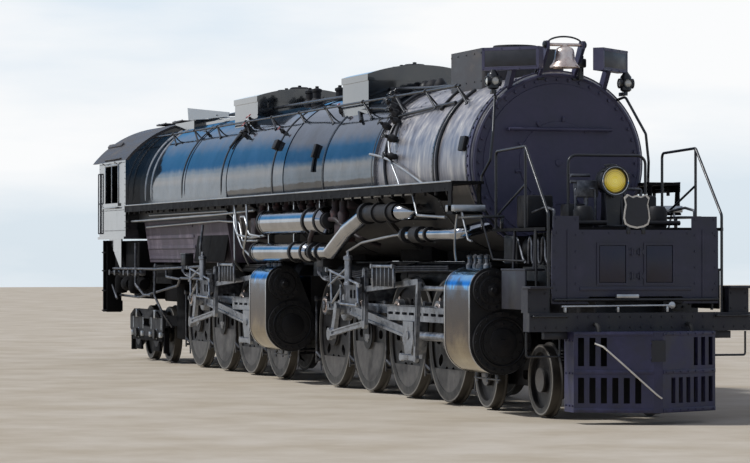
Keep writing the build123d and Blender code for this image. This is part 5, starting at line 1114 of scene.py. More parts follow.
def crown_fittings():
    """Safety valves, whistle, castings on the crown, lids of the sand boxes and sheets that turn smoke aside."""
    bm = bmesh.new()
    for x, y in ((5.5, -0.26), (5.55, 0.28), (6.0, -0.28), (6.05, 0.28), (6.4, 0.0)):
        turned(
            bm,
            (
                (0.1, -0.12), (0.1, 0.04), (0.07, 0.07), (0.07, 0.17), (0.085, 0.18), (0.085, 0.22), (0.03, 0.24),
                (0.03, 0.27), (0, 0.275),
            ),
            at(x, y, 4.62), UP, 16,
        )
    for x, size in ((10.95, 0.11), (11.3, 0.13), (11.65, 0.1)):
        turned(
            bm, ((size, -0.12), (size, 0.08), (0.8 * size, 0.12), (0.4 * size, 0.17), (0, 0.18)), at(x, 0, 4.53), UP,
            16,
        )
    for x in (3.1, 3.95, 9.75, 10.4):
        turned(
            bm, ((0.17, 0), (0.17, 0.035), (0.14, 0.05), (0.03, 0.055), (0.03, 0.08), (0, 0.085)), at(x, 0, 4.94), UP,
            24,
        )
    for x, y, size in ((8.15, -0.35, 0.08), (8.5, 0.3, 0.1), (7.2, 0.5, 0.08), (13.2, 0.2, 0.1), (13.45, -0.35, 0.08)):
        turned(bm, ((size, -0.15), (size, 0.05), (0.7 * size, 0.09), (0, 0.1)), at(x, y, 4.5), UP, 14)
    for x in STACKS:
        turned(bm, ((0.3, 0), (0.305, 0.02), (0.3, 0.04), (0.275, 0.04), (0.275, 0)), at(x, 0, 4.925), UP, 40)
    bolts(
        bm,
        [at(x, side * 0.603, z) for side in (-1, 1) for x in (13.92, 14.2, 14.55, 14.9, 15.18) for z in (4.45, 4.84)],
        UP.cross(AHEAD), 0.011, 0.006,
    )
    for low, high in SAND_BOXES:
        for z in (4.1, 4.76):
            bolts(bm, [at(high + 0.002, y, z) for y in (-0.78, -0.45, 0.45, 0.78)], AHEAD, 0.012, 0.008)
        for side in (-1, 1):
            block(bm, at((low + high) / 2, side * 0.853, 4.79), (high - low + 0.02, 0.012, 0.035), 0.004)
    piece("crown_valves_and_lids", bm, cast_steel, BOILER)
    bm = bmesh.new()
    turned(
        bm,
        (
            (0.03, -0.1), (0.03, 0.05), (0.055, 0.06), (0.055, 0.2), (0.04, 0.23), (0.012, 0.24), (0.012, 0.28),
            (0, 0.285),
        ),
        at(4.75, 0.45, 4.56), UP, 16,
    )
    piece("whistle", bm, bell_bronze, BOILER)
    bm = bmesh.new()
    for side in (-1, 1):
        plate(
            bm,
            [
                at(-2.04, side * 0.55, 4.91), at(-1.96, side * 0.55, 4.67), at(0.76, side * 0.45, 4.62),
                at(0.76, side * 0.45, 4.70),
            ],
            Vector((0, -side * 0.012, 0)),
        )
    for x in (-1.8, -0.9, 0.0):
        bar(bm, at(x, -0.5, 4.68), at(x, 0.5, 4.68), 0.015)
    piece("smoke_sheets", bm, worn_aluminium, BOILER)
    pipes("crown_pipes", [
        bent(0.2, (-1.3, 0.3, 4.66), (1.5, 0.35, 4.68), (2.7, 0.4, 4.66)),
        bent(0.3, (4.35, 0.55, 4.60), (6.9, 0.5, 4.60), (9.35, 0.5, 4.58)),
        bent(0.3, (10.8, 0.5, 4.58), (12.5, 0.5, 4.5), (13.8, 0.45, 4.46)),
    ], 0.026, rail_enamel, BOILER)


def handrail_struts():
    """A ball on the rail at each post, and the strut that leans ahead from it to the sheet below."""
    bm = bmesh.new()
    for station in (-1.4, 0.3, 2.0, 4.0, 5.7, 7.4, 8.9, 10.9, 12.5, 13.9, 15.25):
        place = on_boiler(station, RAIL_ANGLE, RAIL_REACH)
        turned(
            bm, ((0, -0.035), (0.024, -0.027), (0.034, 0), (0.024, 0.027), (0, 0.035)), place,
            place - at(station, 0, BOILER_AXIS), 14,
        )
        foot = on_boiler(station + 0.34, 41, JACKET + 0.005 if station < 7.4 else FRONT_COURSE + 0.01)
        bar(bm, place, foot, 0.017)
        turned(bm, ((0.035, 0), (0.035, 0.012), (0, 0.014)), foot, foot - at(station + 0.34, 0, BOILER_AXIS), 12)
    piece("handrail_struts", bm, rail_enamel, BOILER, mirrored=True)


# Running boards, the tanks below them and the castings under the boiler

def board_fittings():
    """Pale strips along the boards' edges with clips below them, and the bands and collars of the tanks."""
    edge, clip = bmesh.new(), bmesh.new()
    rear, front, strip = -2.8, 16.89, 2.44
    for i in range(math.ceil((front - rear) / strip)):
        station = rear + strip * i
        length = min(strip, front - station)
        block(edge, at(station + length / 2, -1.625, BOARD_TOP - 0.004), (length - 0.012, 0.014, 0.022), 0.004)
    block(edge, at(16.81, -1.40, 2.67), (0.36, 0.44, 0.09), 0.012)
    piece("board_edge_strips", edge, worn_aluminium, BOILER, mirrored=True)
    for i in range(41):
        x = -2.6 + 0.48 * i
        block(clip, at(x, -1.57, 2.915), (0.03, 0.04, 0.12), 0.004)
        bolts(clip, [at(x, -1.619, 2.93)], RIGHT, 0.012, 0.008)
    # bands round the tanks and collars on their pipes
    for rear, front, radius, z in TANKS:
        for x in (rear + 0.12, front - 0.75, front - 0.1):
            turned(
                clip,
                ((radius + 0.002, -0.045), (radius + 0.02, -0.04), (radius + 0.02, 0.04), (radius + 0.002, 0.045)),
                at(x, -TANK_Y, z), AHEAD, 32,
            )
        turned(
            clip, ((0, 0), (0.6 * radius, 0), (0.6 * radius, 0.07), (0.3 * radius, 0.09), (0, 0.09)),
            at(front, -TANK_Y, z), AHEAD, 24,
        )
    for x, y, z, inner, outer, half in (
        (9.9, -1.43, 2.11, 0.116, 0.15, 0.04), (10.25, -1.43, 2.11, 0.116, 0.14, 0.03),
        (12.72, -1.47, 2.66, 0.116, 0.16, 0.05), (13.5, -1.47, 2.66, 0.116, 0.123, 0.7),
        (13.3, -1.47, 2.66, 0.12, 0.15, 0.03), (13.95, -1.47, 2.66, 0.12, 0.15, 0.03),
        (14.2, -1.35, 2.34, 0.086, 0.12, 0.05), (14.7, -1.35, 2.34, 0.086, 0.115, 0.16),
        (15.2, -1.35, 2.34, 0.086, 0.105, 0.03),
    ):
        turned(
            clip, ((inner, -half), (outer, 0.004 - half), (outer, half - 0.004), (inner, half)), at(x, y, z), AHEAD, 28,
        )
    piece("tank_bands_and_clips", clip, cast_steel, BOILER, mirrored=True)


def tank_castings():
    """Valves and castings between the tanks and the boiler, rusted by heat."""
    rust = bmesh.new()
    for x, z, tall in (
        (6.6, 2.78, 0.2), (7.5, 2.86, 0.14), (8.1, 2.84, 0.16), (9.0, 2.86, 0.14), (9.5, 2.84, 0.18),
        (10.0, 2.84, 0.18), (10.8, 2.74, 0.3), (11.2, 2.7, 0.34),
    ):
        turned(
            rust, ((0, -tall / 2), (0.07, -tall / 2), (0.09, -0.02), (0.06, 0.03), (0.06, tall / 2), (0, tall / 2)),
            at(x, -1.38, z), UP, 14,
        )
    for x, y, z, size in (
        (11.0, -1.3, 2.4, (0.5, 0.2, 0.3)), (10.9, -1.2, 2.82, (0.9, 0.3, 0.14)), (6.1, -1.3, 2.5, (0.3, 0.25, 0.36)),
        (5.5, -1.35, 2.72, (0.5, 0.2, 0.16)),
    ):
        block(rust, at(x, y, z), size, 0.03)
    piece("tank_valves_and_castings", rust, heated_iron, BOILER, mirrored=True)


def board_pipes():
    """The pipes below the boards: two along the edge, the air lines round the tanks, and the braces of the step."""
    pipes("board_pipes", [
        [at(-2.8, -1.585, z), at(4, -1.585, z), at(10, -1.585, z), at(16.5, -1.585, z)] for z in (2.955, 2.915)
    ], 0.014, worn_aluminium, BOILER)
    pipes("board_air_lines", [
        bent(0.15, (-2.7, -1.5, 2.72), (3.9, -1.5, 2.76), (6.3, -1.45, 2.80)),
        bent(
            0.12, (-1.5, -1.42, 2.82), (4.4, -1.42, 2.82), (4.8, -1.4, 2.7), (4.85, -1.4, 1.95), (4.15, -1.1, 1.8),
            (4.1, -0.7, 1.8),
        ),
        bent(0.1, (11.6, -1.5, 2.9), (14.9, -1.5, 2.9), (15.1, -1.5, 2.6), (16.3, -1.5, 2.56)),
        bent(0.12, (-2.0, -1.36, 2.6), (3.6, -1.36, 2.66), (5.0, -1.36, 2.62), (5.3, -1.38, 2.3), (6.3, -1.38, 2.3)),
        bent(0.15, (5.0, -1.45, 2.9), (5.2, -1.5, 2.55), (5.7, -1.5, 2.2), (6.4, -1.5, 2.0)),
        bent(0.12, (5.4, -1.55, 2.9), (5.6, -1.55, 2.4), (6.2, -1.5, 2.35), (7.0, -1.45, 2.38)),
        bent(0.12, (6.3, -1.58, 2.9), (6.35, -1.58, 2.5), (5.8, -1.5, 2.1), (5.4, -1.3, 1.9)),
        bent(0.12, (5.1, -1.3, 2.2), (5.6, -1.5, 2.7), (6.1, -1.56, 2.7), (6.4, -1.56, 2.4), (6.9, -1.5, 2.36)),
        bent(0.2, (11.38, -1.38, 2.11), (12.12, -1.38, 2.24), (13.53, -1.32, 2.34), (13.9, -1.2, 2.36)),
    ], 0.02, worn_aluminium, BOILER)
    pipes("tank_pipes", [
        bent(0.1, (9.65, -1.43, 2.11), (9.8, -1.5, 2.3), (10.2, -1.55, 2.5), (10.6, -1.5, 2.6)),
        bent(0.12, (10.65, -1.43, 2.6), (10.95, -1.43, 2.6), (11.2, -1.35, 2.45), (11.5, -1.2, 2.3), (11.5, -0.9, 2.2)),
    ], 0.038, heated_iron, BOILER)
    pipes("step_braces", [
        [at(16.85, -1.52, 2.63), at(16.65, -1.52, 2.2), at(16.5, -1.42, 1.98)],
        bent(0.03, (16.95, -1.5, 2.63), (17.15, -1.48, 2.26), (17.25, -1.48, 2.24), (17.3, -1.48, 2.24)),
    ], 0.015, worn_aluminium, BOILER)


def belly_castings():
    """Boiler bearings, the ash pan and its hoppers, boxes on the cradle, and sheets ahead of the firebox."""
    belly = bmesh.new()
    for x, wide, low, high, deep in (
        (8.6, 1.0, 1.966, 2.3, 0.8), (5.0, 0.9, 1.70, 2.1, 1.5), (11.95, 1.5, 1.966, 2.25, 1.0),
        (13.3, 1.0, 1.966, 2.2, 0.6), (14.6, 1.6, 1.966, 2.2, 0.6),
    ):
        block(belly, at(x, 0, (low + high) / 2), (wide, deep, high - low), 0.05)
    for side in (-1, 1):
        plate(
            belly,
            [
                at(-2.3, side * 1.0, 1.95), at(3.4, side * 1.0, 1.95), at(3.0, side * 0.62, 1.55),
                at(-2.0, side * 0.62, 1.55),
            ],
            Vector((0, -side * 0.03, 0)),
        )
        block(belly, at(-3.75, side * 1.12, 1.98), (2.2, 0.5, 0.74), 0.04)
        block(belly, at(-4.1, side * 0.78, 1.4), (1.9, 0.3, 0.4), 0.04)
        block(belly, at(-0.9, side * 1.12, 1.70), (1.6, 0.4, 0.36), 0.03)
        block(belly, at(-2.1, side * 0.72, 1.32), (1.2, 0.25, 0.3), 0.03)
    # the hopper ahead of the trailing truck
    block(belly, at(-1.38, 0, 1.05), (0.66, 1.7, 1.2), 0.06)
    piece("ash_pan_and_castings", belly, soot, BOILER)
    sheet = bmesh.new()
    block(sheet, at(2.75, -1.262, 2.31), (2.2, 0.02, 0.74), 0.008, Matrix.Rotation(-0.16, 4, "X"))
    piece("firebox_front_sheets", sheet, soot, BOILER, mirrored=True)


# Engines: cylinder covers, rods' caps, brakes, springs, and the pipes on their beds

def casing_outline(station, grow):
    """The cylinder casing's outline on the right, round the cylinder and the valve chest above it."""
    places = []
    for y, z, radius, start, end in (
        (-CHEST_Y, CHEST_HEIGHT, CHEST_RADIUS, 22, 180), (-CYLINDER_Y, CYLINDER_HEIGHT, CYLINDER_RADIUS, 180, 382),
    ):
        for i in range(25):
            a = math.radians(start + (end - start) * i / 24)
            places.append(at(station, y + (radius + grow) * math.cos(a), z + (radius + grow) * math.sin(a)))
    return places


def flat_frame(bm, outer, inner, thickness):
    """A flat frame between two outlines of as many places, thickened by a vector."""
    edges = []
    for outline in (outer, inner):
        points = [bm.verts.new(place) for place in outline]
        edges += [bm.edges.new(pair) for pair in zip(points, points[1:] + points[:1])]
    faces = bmesh.ops.bridge_loops(bm, edges=edges)["faces"]
    made = bmesh.ops.extrude_face_region(bm, geom=faces)["geom"]
    bmesh.ops.translate(bm, vec=thickness, verts=[v for v in made if isinstance(v, bmesh.types.BMVert)])


def cylinder_fittings(engine, middle, body):
    """Covers with their bolts, the jacket's end bands, drain cocks, and the valves on top of the chest."""
    bm, band, cock = bmesh.new(), bmesh.new(), bmesh.new()
    for end in (1, -1):
        out = end * AHEAD
        for y, z, radius, inner, step in (
            (-CYLINDER_Y, CYLINDER_HEIGHT, CYLINDER_RADIUS - 0.025, 0.27, 0.09),
            (-CHEST_Y, CHEST_HEIGHT, CHEST_RADIUS - 0.03, 0.17, 0.085),
        ):
            face = at(middle + end * 0.58, y, z)
            bolts(bm, ring(face, radius - 0.03, 20 if radius > 0.3 else 14), out, 0.017, 0.032)
            turned(bm, [(radius - inside, rise) for inside, rise in (
                (0.075, 0), (0.07, 0.012), (0.085, 0.018), (0.1, 0.012), (0.105, 0),
            )], face, out, 40)
            if end == 1:
                cover = at(middle + CASING_HALF + step, y, z)
                bolts(bm, ring(cover, inner - 0.03, 12), out, 0.014, 0.02)
                turned(
                    bm,
                    (
                        (inner - 0.08, 0), (inner - 0.085, 0.02), (inner - 0.12, 0.026), (0.045, 0.03), (0.04, 0.045),
                        (0, 0.047),
                    ),
                    cover, out, 36,
                )
        station = middle + end * 0.47
        flat_frame(band, casing_outline(station, 0.006), casing_outline(station, -0.01), Vector((0.045 * end, 0, 0)))
    for x in (-0.4, 0.0, 0.4):
        turned(
            cock, ((0, -0.02), (0.03, -0.02), (0.03, 0.05), (0.016, 0.06), (0.016, 0.12), (0, 0.12)),
            at(middle + x, -1.17, 0.515), -UP, 12,
        )
    bar(cock, at(middle - 0.5, -1.17, 0.44), at(middle + 0.5, -1.17, 0.44), 0.012)
    # fittings on top of the valve chest: relief valves and oil cups
    for x, size in ((-0.32, 0.05), (-0.1, 0.04), (0.12, 0.065), (0.36, 0.05)):
        turned(
            cock,
            (
                (0, -0.03), (size, -0.03), (size, 0.03), (0.6 * size, 0.05), (0.6 * size, 0.11), (0.8 * size, 0.12),
                (0.8 * size, 0.15), (0, 0.17),
            ),
            at(middle + x, -1.30, 1.9), UP, 14,
        )
    piece(f"{engine}_cylinder_covers", bm, cast_steel, body, mirrored=True)
    piece(f"{engine}_jacket_bands", band, polished_steel, body, mirrored=True)
    piece(f"{engine}_cylinder_cocks", cock, worn_steel, body, mirrored=True)


def rod_fittings(engine, first):
    """Collars, nuts and oil cups at the coupling rods' pins, and caps on the axles' ends."""
    for side, y, ahead, up in (("right", -1, 0.0, CRANK), ("left", 1, -CRANK, 0.0)):
        bm = bmesh.new()
        for i in range(4):
            pin = at(first + DRIVER_PITCH * i + ahead, y * 0.98, DRIVER_RADIUS + up)
            inner = 0.115 if i == 1 else 0.085
            turned(
                bm, ((inner, -0.002), (inner, 0.008), (inner + 0.03, 0.008), (inner + 0.034, -0.002)), pin, (0, y, 0),
                24,
            )
            cup = pin + Vector((0, -0.047 * y, 0.19 if i == 1 else 0.145))
            turned(bm, ((0.022, -0.01), (0.022, 0.02), (0.012, 0.03), (0.012, 0.045), (0, 0.046)), cup, UP, 10)
        piece(f"{engine}_{side}_rod_cups", bm, bell_bronze, f"{engine}_{side}_coupling_rods")
    for i in range(4):
        name = f"{engine}_driver_{4 - i}"
        bm = bmesh.new()
        station = first + DRIVER_PITCH * i
        for y, ahead, up in ((-1, 0.0, CRANK), (1, -CRANK, 0.0)):
            if i != 1:
                pin = at(station + ahead, y * 0.995, DRIVER_RADIUS + up)
                turned(bm, ((0.07, -0.004), (0.07, 0.01), (0.03, 0.014), (0, 0.015)), pin, (0, y, 0), 18)
                bolts(bm, ring(pin + Vector((0, 0.01 * y, 0)), 0.045, 4, 0.4, upright=True), (0, y, 0), 0.011, 0.012)
            hub = at(station, y * 0.85, DRIVER_RADIUS)
            turned(bm, ((0.13, -0.002), (0.13, 0.008), (0.1, 0.013), (0.04, 0.016), (0, 0.016)), hub, (0, y, 0), 28)
            bolts(bm, ring(hub + Vector((0, 0.008 * y, 0)), 0.115, 8, upright=True), (0, y, 0), 0.01, 0.012)
        piece(f"{name}_caps", bm, bright_steel, name)


def brake_gear(engine, first, body):
    """Brake hangers with shoes at the treads, the beams that join them, and the springs above the axles."""
    bm, shoes, springs = bmesh.new(), bmesh.new(), bmesh.new()
    for i in range(4):
        middle = first + DRIVER_PITCH * (i - 0.5)
        axle = at(first + DRIVER_PITCH * i, 0, DRIVER_RADIUS)
        block(bm, at(middle + 0.005, -0.845, 0.86), (0.036, 0.026, 1.06), 0.004)
        bar(bm, at(middle + 0.005, -0.845, 1.36), at(middle + 0.005, -0.66, 1.36), 0.025)
        bar(bm, at(middle + 0.02, -0.845, 0.38), at(middle + 0.02, 0, 0.38), 0.022)
        turned(
            bm, ((0.045, -0.02), (0.045, 0.02), (0.02, 0.024), (0, 0.024)), at(middle + 0.005, -0.852, 1.36), RIGHT, 14,
        )
        angles = [math.radians(a) for a in (198, 203, 208, 213, 218)]
        inner, outer, back = (
            [axle + Vector((reach * math.cos(a), y, reach * math.sin(a))) for a in angles]
            for reach, y in ((0.876, -0.735), (0.93, -0.735), (0.945, -0.79))
        )
        plate(shoes, inner + outer[::-1], Vector((0, -0.075, 0)))
        bar(bm, back[2], at(middle + 0.005, -0.845, 0.5), 0.026)
    for i in range(3):
        middle = first + DRIVER_PITCH * (i + 0.5)
        for leaf in range(6):
            block(springs, at(middle, -0.585, 1.43 + 0.022 * leaf), (1.3 - 0.17 * leaf, 0.11, 0.018), 0.002)
        block(springs, at(middle, -0.585, 1.5), (0.1, 0.13, 0.16), 0.006)
    piece(f"{engine}_brake_hangers", bm, worn_steel, body, mirrored=True)
    piece(f"{engine}_brake_shoes", shoes, cast_steel, body, mirrored=True)
    piece(f"{engine}_leaf_springs", springs, cast_steel, body, mirrored=True)


def engine_pipes(engine, first, body):
    """Reservoirs and pipes that lie on the bed above the wheels, with oil boxes outside the link brackets."""
    bm, lid = bmesh.new(), bmesh.new()
    for start, end in ((first - 0.9, first + 2.0), (first + 2.5, first + 5.7)):
        long = end - start
        turned(
            bm, ((0, 0), (0.13, 0.02), (0.2, 0.1), (0.2, long - 0.1), (0.13, long - 0.02), (0, long)),
            at(start, -0.36, 1.74), AHEAD, 24,
        )
        for x in (start + 0.4, end - 0.4):
            turned(bm, ((0.2, -0.03), (0.212, -0.025), (0.212, 0.025), (0.2, 0.03)), at(x, -0.36, 1.74), AHEAD, 24)
    for x, z in ((1.35, 1.98), (3.3, 1.62)):
        block(bm, at(first + x, -1.38, z), (0.34, 0.16, 0.2), 0.012)
        block(lid, at(first + x, -1.38, z + 0.11), (0.36, 0.18, 0.02), 0.006)
        for i in range(5):
            bar(
                lid, at(first + x - 0.12 + 0.06 * i, -1.45, z - 0.1), at(first + x - 0.12 + 0.06 * i, -1.45, z - 0.17),
                0.009,
            )
    # the cover plates over the bed, just under the boiler's bearings
    block(bm, at(first + 3.0, -0.21, 1.925), (6.4, 0.4, 0.072), 0.01)
    piece(f"{engine}_reservoirs", bm, cast_steel, body, mirrored=True)
    piece(f"{engine}_oil_box_lids", lid, worn_steel, body, mirrored=True)
    pipes(f"{engine}_engine_pipes", [
        bent(0.2, (first - 0.6, -0.7, 1.82), (first + 2.0, -0.7, 1.80), (first + 6.0, -0.75, 1.84)),
        bent(0.1, (first + 6.62, -0.75, 1.5), (first + 6.62, -0.75, 0.9), (first + 6.5, -0.75, 0.2)),
        bent(0.1, (first - 1.0, -0.75, 1.2), (first - 1.02, -0.75, 0.7), (first - 0.98, -0.75, 0.2)),
        *([
            at(first + 1.23 + 0.06 * i, -1.45, 1.81), at(first + 1.25 + 0.06 * i, -1.45, 1.7 - 0.03 * i),
            at(first + 1.9, -1.2, 1.78 - 0.03 * i), at(first + 2.6, -0.8, 1.9 - 0.03 * i),
            at(first + 5.4, -0.75, 1.9 - 0.03 * i),
        ] for i in range(3)),
    ], 0.014, worn_steel, body)


boiler_bands()
boiler_valves()
crown_fittings()
handrail_struts()
board_fittings()
tank_castings()
board_pipes()
belly_castings()
for engine, first, middle, body in ENGINES:
    cylinder_fittings(engine, middle, body)
    rod_fittings(engine, first)
    brake_gear(engine, first, body)
    engine_pipes(engine, first, body)


# Braces outside the valve gear, the trucks' fittings, and what hangs below the cab

def gear_fittings(engine, first, body):
    """A reach-rod cylinder, crossed braces and an oil box's frame outside the valve gear."""
    bm, dark = bmesh.new(), bmesh.new()
    y = -1.53
    tall = at(first + 3.1, y, 1.62)
    turned(
        bm,
        (
            (0, 0), (0.07, 0), (0.07, 0.03), (0.055, 0.04), (0.055, 0.36), (0.07, 0.37), (0.07, 0.42), (0.025, 0.44),
            (0.025, 0.5), (0, 0.5),
        ),
        tall, UP, 16,
    )
    for start, end in (
        # the ends of each brace: metres ahead of the first driver, and height
        ((2.05, 1.84), (3.72, 1.62)), ((2.1, 1.60), (3.0, 1.86)), ((2.15, 1.28), (2.75, 1.58)),
        ((2.2, 1.84), (2.25, 1.3)), ((3.55, 1.64), (3.6, 1.34)), ((2.7, 1.34), (3.62, 1.32)),
        ((2.72, 1.62), (2.72, 1.34)),
    ):
        bar(bm, at(first + start[0], y, start[1]), at(first + end[0], y, end[1]), 0.02)
    # the frame of the oil box, with its slats
    low, high, z0, z1 = first + 4.32, first + 5.3, 1.60, 1.90
    for x in (low, high):
        block(bm, at(x, y, (z0 + z1) / 2), (0.035, 0.035, z1 - z0), 0.006)
    block(bm, at((low + high) / 2, y, z1), (high - low, 0.05, 0.04), 0.008)
    block(dark, at((low + high) / 2, y + 0.02, (z0 + z1) / 2), (high - low - 0.04, 0.02, z1 - z0 - 0.03), 0.004)
    for i in range(4):
        block(bm, at(low + 0.2 + 0.19 * i, y - 0.006, (z0 + z1) / 2), (0.02, 0.012, z1 - z0 - 0.03), 0.003)
    bolts(
        bm,
        [
            at(first + x, y - 0.02, z)
            for x, z in ((2.05, 1.84), (3.72, 1.62), (2.2, 1.3), (3.6, 1.34), (4.32, 1.90), (5.3, 1.90))
        ],
        RIGHT, 0.035, 0.02,
    )
    piece(f"{engine}_gear_braces", bm, bright_steel, body, mirrored=True)
    piece(f"{engine}_oil_box_backs", dark, cast_steel, body, mirrored=True)


def truck_fittings():
    """Journal covers, leaf springs and equalising bars on the trailing truck, and coil springs on the leading truck."""
    bm, dark = bmesh.new(), bmesh.new()
    for station in TRAILING_AXLES:
        hub = at(station, -1.02, TRAILING_RADIUS)
        turned(bm, ((0.13, 0), (0.15, 0.01), (0.15, 0.03), (0.1, 0.05), (0.05, 0.055), (0, 0.055)), hub, RIGHT, 24)
        bolts(bm, ring(hub, 0.12, 6, 0.3, upright=True), RIGHT, 0.014, 0.045)
        for leaf in range(6):
            block(dark, at(station, -1.06, 0.86 + 0.02 * leaf), (0.9 - 0.11 * leaf, 0.09, 0.017), 0.002)
        block(bm, at(station, -1.06, 0.92), (0.09, 0.11, 0.16), 0.008)
        for side in (-0.43, 0.43):
            bar(bm, at(station + side, -1.06, 0.88), at(station + side, -1.06, 0.62), 0.018)
            block(bm, at(station + side, -1.06, 0.52), (0.12, 0.1, 0.1), 0.012)
        block(dark, at(station, -1.04, 0.28), (0.5, 0.05, 0.16), 0.01)
    block(dark, at(-3.25, -1.05, 0.44), (2.6, 0.04, 0.1), 0.01)
    for x in (-4.75, -1.95):
        block(dark, at(x, -0.99, 0.42), (0.1, 0.1, 0.5), 0.01)
    piece("trailing_truck_journals", bm, worn_aluminium, "trailing_truck", mirrored=True)
    piece("trailing_truck_springs", dark, soot, "trailing_truck", mirrored=True)
    bm = bmesh.new()
    for station in LEADING_AXLES:
        for x in (-0.16, 0.16):
            turned(bm, ((0.055, -0.12), (0.055, 0.12)), at(station + x, -0.43, 0.74), UP, 14)
            for i in range(5):
                turned(
                    bm, ((0.062, -0.012), (0.075, 0), (0.062, 0.012)), at(station + x, -0.43, 0.66 + 0.04 * i), UP, 14,
                )
    piece("leading_truck_springs", bm, cast_steel, "leading_truck", mirrored=True)


def under_cab():
    """Steps, pipes and valves below the cab and along the firebox."""
    bm, dark = bmesh.new(), bmesh.new()
    for z in (0.95, 1.35, 1.75, 2.12):
        block(dark, at(-5.04, -1.38, z), (0.34, 0.36, 0.025), 0.004)
        block(dark, at(-5.04, -1.21, z + 0.1), (0.34, 0.02, 0.2), 0.004)
    for x in (-5.22, -4.86):
        block(dark, at(x, -1.38, 1.64), (0.03, 0.3, 1.44), 0.006)
    for x in (-5.2, -5.02):
        bar(bm, at(x, -1.63, 2.5), at(x, -1.63, 3.7), 0.012)
        for z in (2.5, 3.1, 3.7):
            bar(bm, at(x, -1.60, z), at(x, -1.635, z), 0.012)
    # small tanks that lie and stand below the cab floor, and the valves above them
    for i in range(4):
        turned(
            dark, ((0, -0.2), (0.1, -0.18), (0.14, -0.1), (0.14, 0.1), (0.1, 0.18), (0, 0.2)),
            at(-4.5 + 0.62 * i, -1.3, 1.5), AHEAD if i % 2 else UP, 16,
        )
    for x in (-4.6, -4.1, -3.3, -2.9, -2.2):
        turned(
            bm,
            (
                (0, -0.06), (0.05, -0.05), (0.065, 0), (0.05, 0.05), (0.025, 0.06), (0.025, 0.12), (0.055, 0.125),
                (0.055, 0.14), (0, 0.145),
            ),
            at(x, -1.4, 1.72), RIGHT, 14,
        )
    piece("cab_grab_irons_and_valves", bm, worn_steel, BOILER, mirrored=True)
    piece("cab_steps", dark, soot, BOILER, mirrored=True)
    pipes("firebox_pipes", [
        bent(0.3, (-4.6, -1.45, 1.80), (-1.0, -1.42, 1.80), (2.45, -1.40, 1.86)),
        bent(0.25, (-5.8, -1.25, 1.28), (-3.0, -1.28, 1.24), (0.3, -1.3, 1.5), (0.8, -1.38, 1.64), (2.3, -1.38, 1.64)),
        bent(0.1, (-4.9, -1.4, 2.35), (-4.9, -1.42, 1.5), (-4.4, -1.42, 1.2)),
        bent(0.1, (-2.6, -1.45, 2.3), (-2.6, -1.45, 1.5), (-2.0, -1.42, 1.3), (-1.4, -1.42, 1.3)),
        bent(0.1, (-1.2, -1.38, 1.9), (-1.2, -1.4, 1.3), (-1.0, -1.3, 1.0), (-1.0, -1.1, 0.7)),
        bent(0.08, (-0.2, -1.4, 1.85), (-0.2, -1.4, 1.66), (0.9, -1.4, 1.62)),
        bent(0.08, (2.6, -1.4, 2.6), (2.62, -1.45, 2.2), (2.6, -1.42, 1.9)),
    ], 0.024, worn_steel, BOILER)


# Cab: window frames, rivets, roof ribs and what shows inside

def cab_fittings():
    """Window frames and sills, rows of rivets, the awnings, and the roof's hatches and ribs."""
    window, rivet, roof = bmesh.new(), bmesh.new(), bmesh.new()
    for z in (3.075, 3.845):
        block(window, at(-4.05, -1.606, z), (1.22, 0.018, 0.035), 0.005)
    for x in (-4.645, -4.05, -3.455):
        block(window, at(x, -1.606, 3.46), (0.035 if x != -4.05 else 0.025, 0.018, 0.77), 0.005)
    block(window, at(-4.05, -1.64, 3.0), (1.16, 0.07, 0.03), 0.008)
    for x in (-4.6, -3.5):
        bar(window, at(x, -1.62, 3.86), at(x, -1.68, 3.9), 0.012)
    bolts(rivet, [at(-5.18 + 0.12 * i, -1.6, z) for i in range(20) for z in (2.55, 2.95, 3.88)], RIGHT, 0.01, 0.006)
    bolts(rivet, [at(x, -1.6, 2.6 + 0.12 * i) for x in (-5.2, -2.88) for i in range(11)], RIGHT, 0.01, 0.006)
    block(roof, at(-4.1, -1.57, 3.97), (1.5, 0.06, 0.02), 0.004)
    block(roof, at(-5.3, -1.12, 4.2), (1.3, 0.36, 0.09), 0.02, Matrix.Rotation(-0.62, 4, "X"))
    both_sides(roof)
    for x in (-3.6, -5.0):
        block(roof, at(x, 0, 4.715), (0.7, 0.8, 0.035), 0.01)
        bolts(roof, [at(x + dx, dy, 4.735) for dx in (-0.3, 0.3) for dy in (-0.35, 0.35)], UP, 0.014, 0.012)
    piece("cab_window_frames", window, worn_aluminium, BOILER, mirrored=True)
    piece("cab_rivets", rivet, enamel, BOILER, mirrored=True)
    piece("cab_roof_hatches_and_ribs", roof, roof_paint, BOILER)


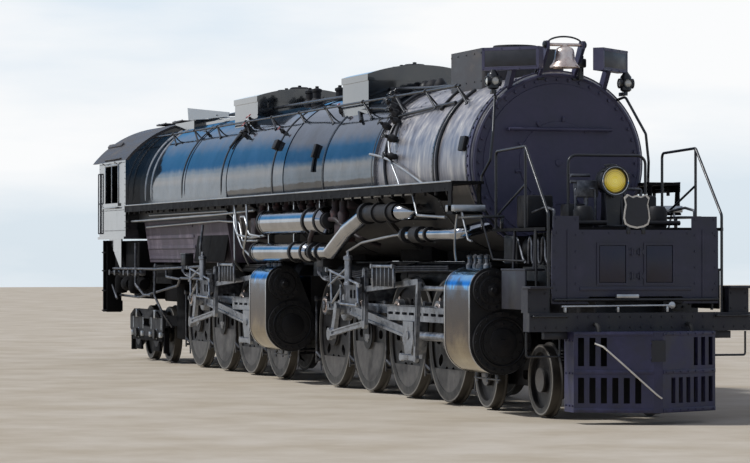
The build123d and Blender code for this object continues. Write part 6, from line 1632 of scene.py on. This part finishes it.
def cab_inside():
    """Seats, and the boiler's end with its gauges, valves, pipes and levers."""
    seat, back, brass, wheel, dial = bmesh.new(), bmesh.new(), bmesh.new(), bmesh.new(), bmesh.new()
    for side in (-1, 1):
        block(seat, at(-4.35, side * 1.12, 2.96), (0.48, 0.46, 0.1), 0.035)
        block(seat, at(-4.6, side * 1.12, 3.26), (0.09, 0.46, 0.5), 0.035)
        bar(back, at(-4.35, side * 1.12, 2.44), at(-4.35, side * 1.12, 2.92), 0.04)
        bar(brass, at(-3.62, side * 0.86, 2.5), at(-3.75, side * 0.9, 3.3), 0.016)
        turned(
            brass, ((0, -0.03), (0.024, -0.02), (0.03, 0), (0.024, 0.02), (0, 0.03)), at(-3.75, side * 0.9, 3.32), UP,
            12,
        )
    turned(back, ((0.9, 0), (0.9, 0.05), (0.84, 0.08), (0, 0.08)), at(-3.352, 0, 3.25), -AHEAD, 40)
    block(back, at(-3.46, 0, 2.75), (0.08, 0.62, 0.5), 0.03)
    bolts(back, ring(at(-3.43, 0, 3.25), 0.8, 30), -AHEAD, 0.018, 0.02)
    for y, z in ((-0.45, 3.72), (-0.15, 3.8), (0.15, 3.8), (0.45, 3.72), (-0.5, 3.4), (0.5, 3.4)):
        turned(brass, ((0.075, 0), (0.085, 0.01), (0.085, 0.05), (0.072, 0.055)), at(-3.44, y, z), -AHEAD, 24)
        turned(dial, ((0.074, 0.044), (0, 0.046)), at(-3.44, y, z), -AHEAD, 24)
    for y, z in ((-0.3, 3.5), (0.0, 3.56), (0.3, 3.5), (-0.62, 3.1), (0.62, 3.1)):
        globe_valve(brass, wheel, at(-3.5, y, z), -AHEAD, 0.03)
    piece("cab_seats", seat, rubber, BOILER)
    piece("boiler_end", back, cab_green, BOILER)
    piece("cab_gauges", brass, bell_bronze, BOILER)
    piece("cab_gauge_faces", dial, plate_white, BOILER)
    piece("cab_valve_wheels", wheel, signal_red, BOILER)
    pipes("boiler_end_pipes", [
        bent(
            0.08, (-3.5, y, z), (-3.55, y, z - 0.3), (-3.52, y * 1.6, 2.5),
        ) for y, z in ((-0.3, 3.46), (-0.15, 3.74), (-0.45, 3.66))
    ], 0.012, copper, BOILER)


for engine, first, middle, body in ENGINES:
    gear_fittings(engine, first, body)
truck_fittings()
under_cab()
cab_fittings()
cab_inside()


# Floor

FLOOR_HALF = 150


def make_floor():
    """Pale ground under the wheels, 300 m across: packed ballast dust, with faint patches 1.5 m across."""
    bm = bmesh.new()
    bmesh.ops.create_grid(bm, x_segments=1, y_segments=1, size=FLOOR_HALF)
    mesh = bpy.data.meshes.new("floor")
    bm.to_mesh(mesh)
    bm.free()
    floor = bpy.data.objects.new("floor", mesh)
    bpy.context.scene.collection.objects.link(floor)
    material, tree, shader, coords = start_material("pale packed ground", Roughness=0.95)
    colour = shades_over(tree, coords, ((0.35, "#bfb29d"), (0.65, "#d2c8b8")), 1500)[0]
    tree.links.new(colour, shader.inputs["Base Color"])
    mesh.materials.append(material)


set_camera()
set_light()
make_floor()
bpy.context.scene.view_settings.view_transform = "Standard"
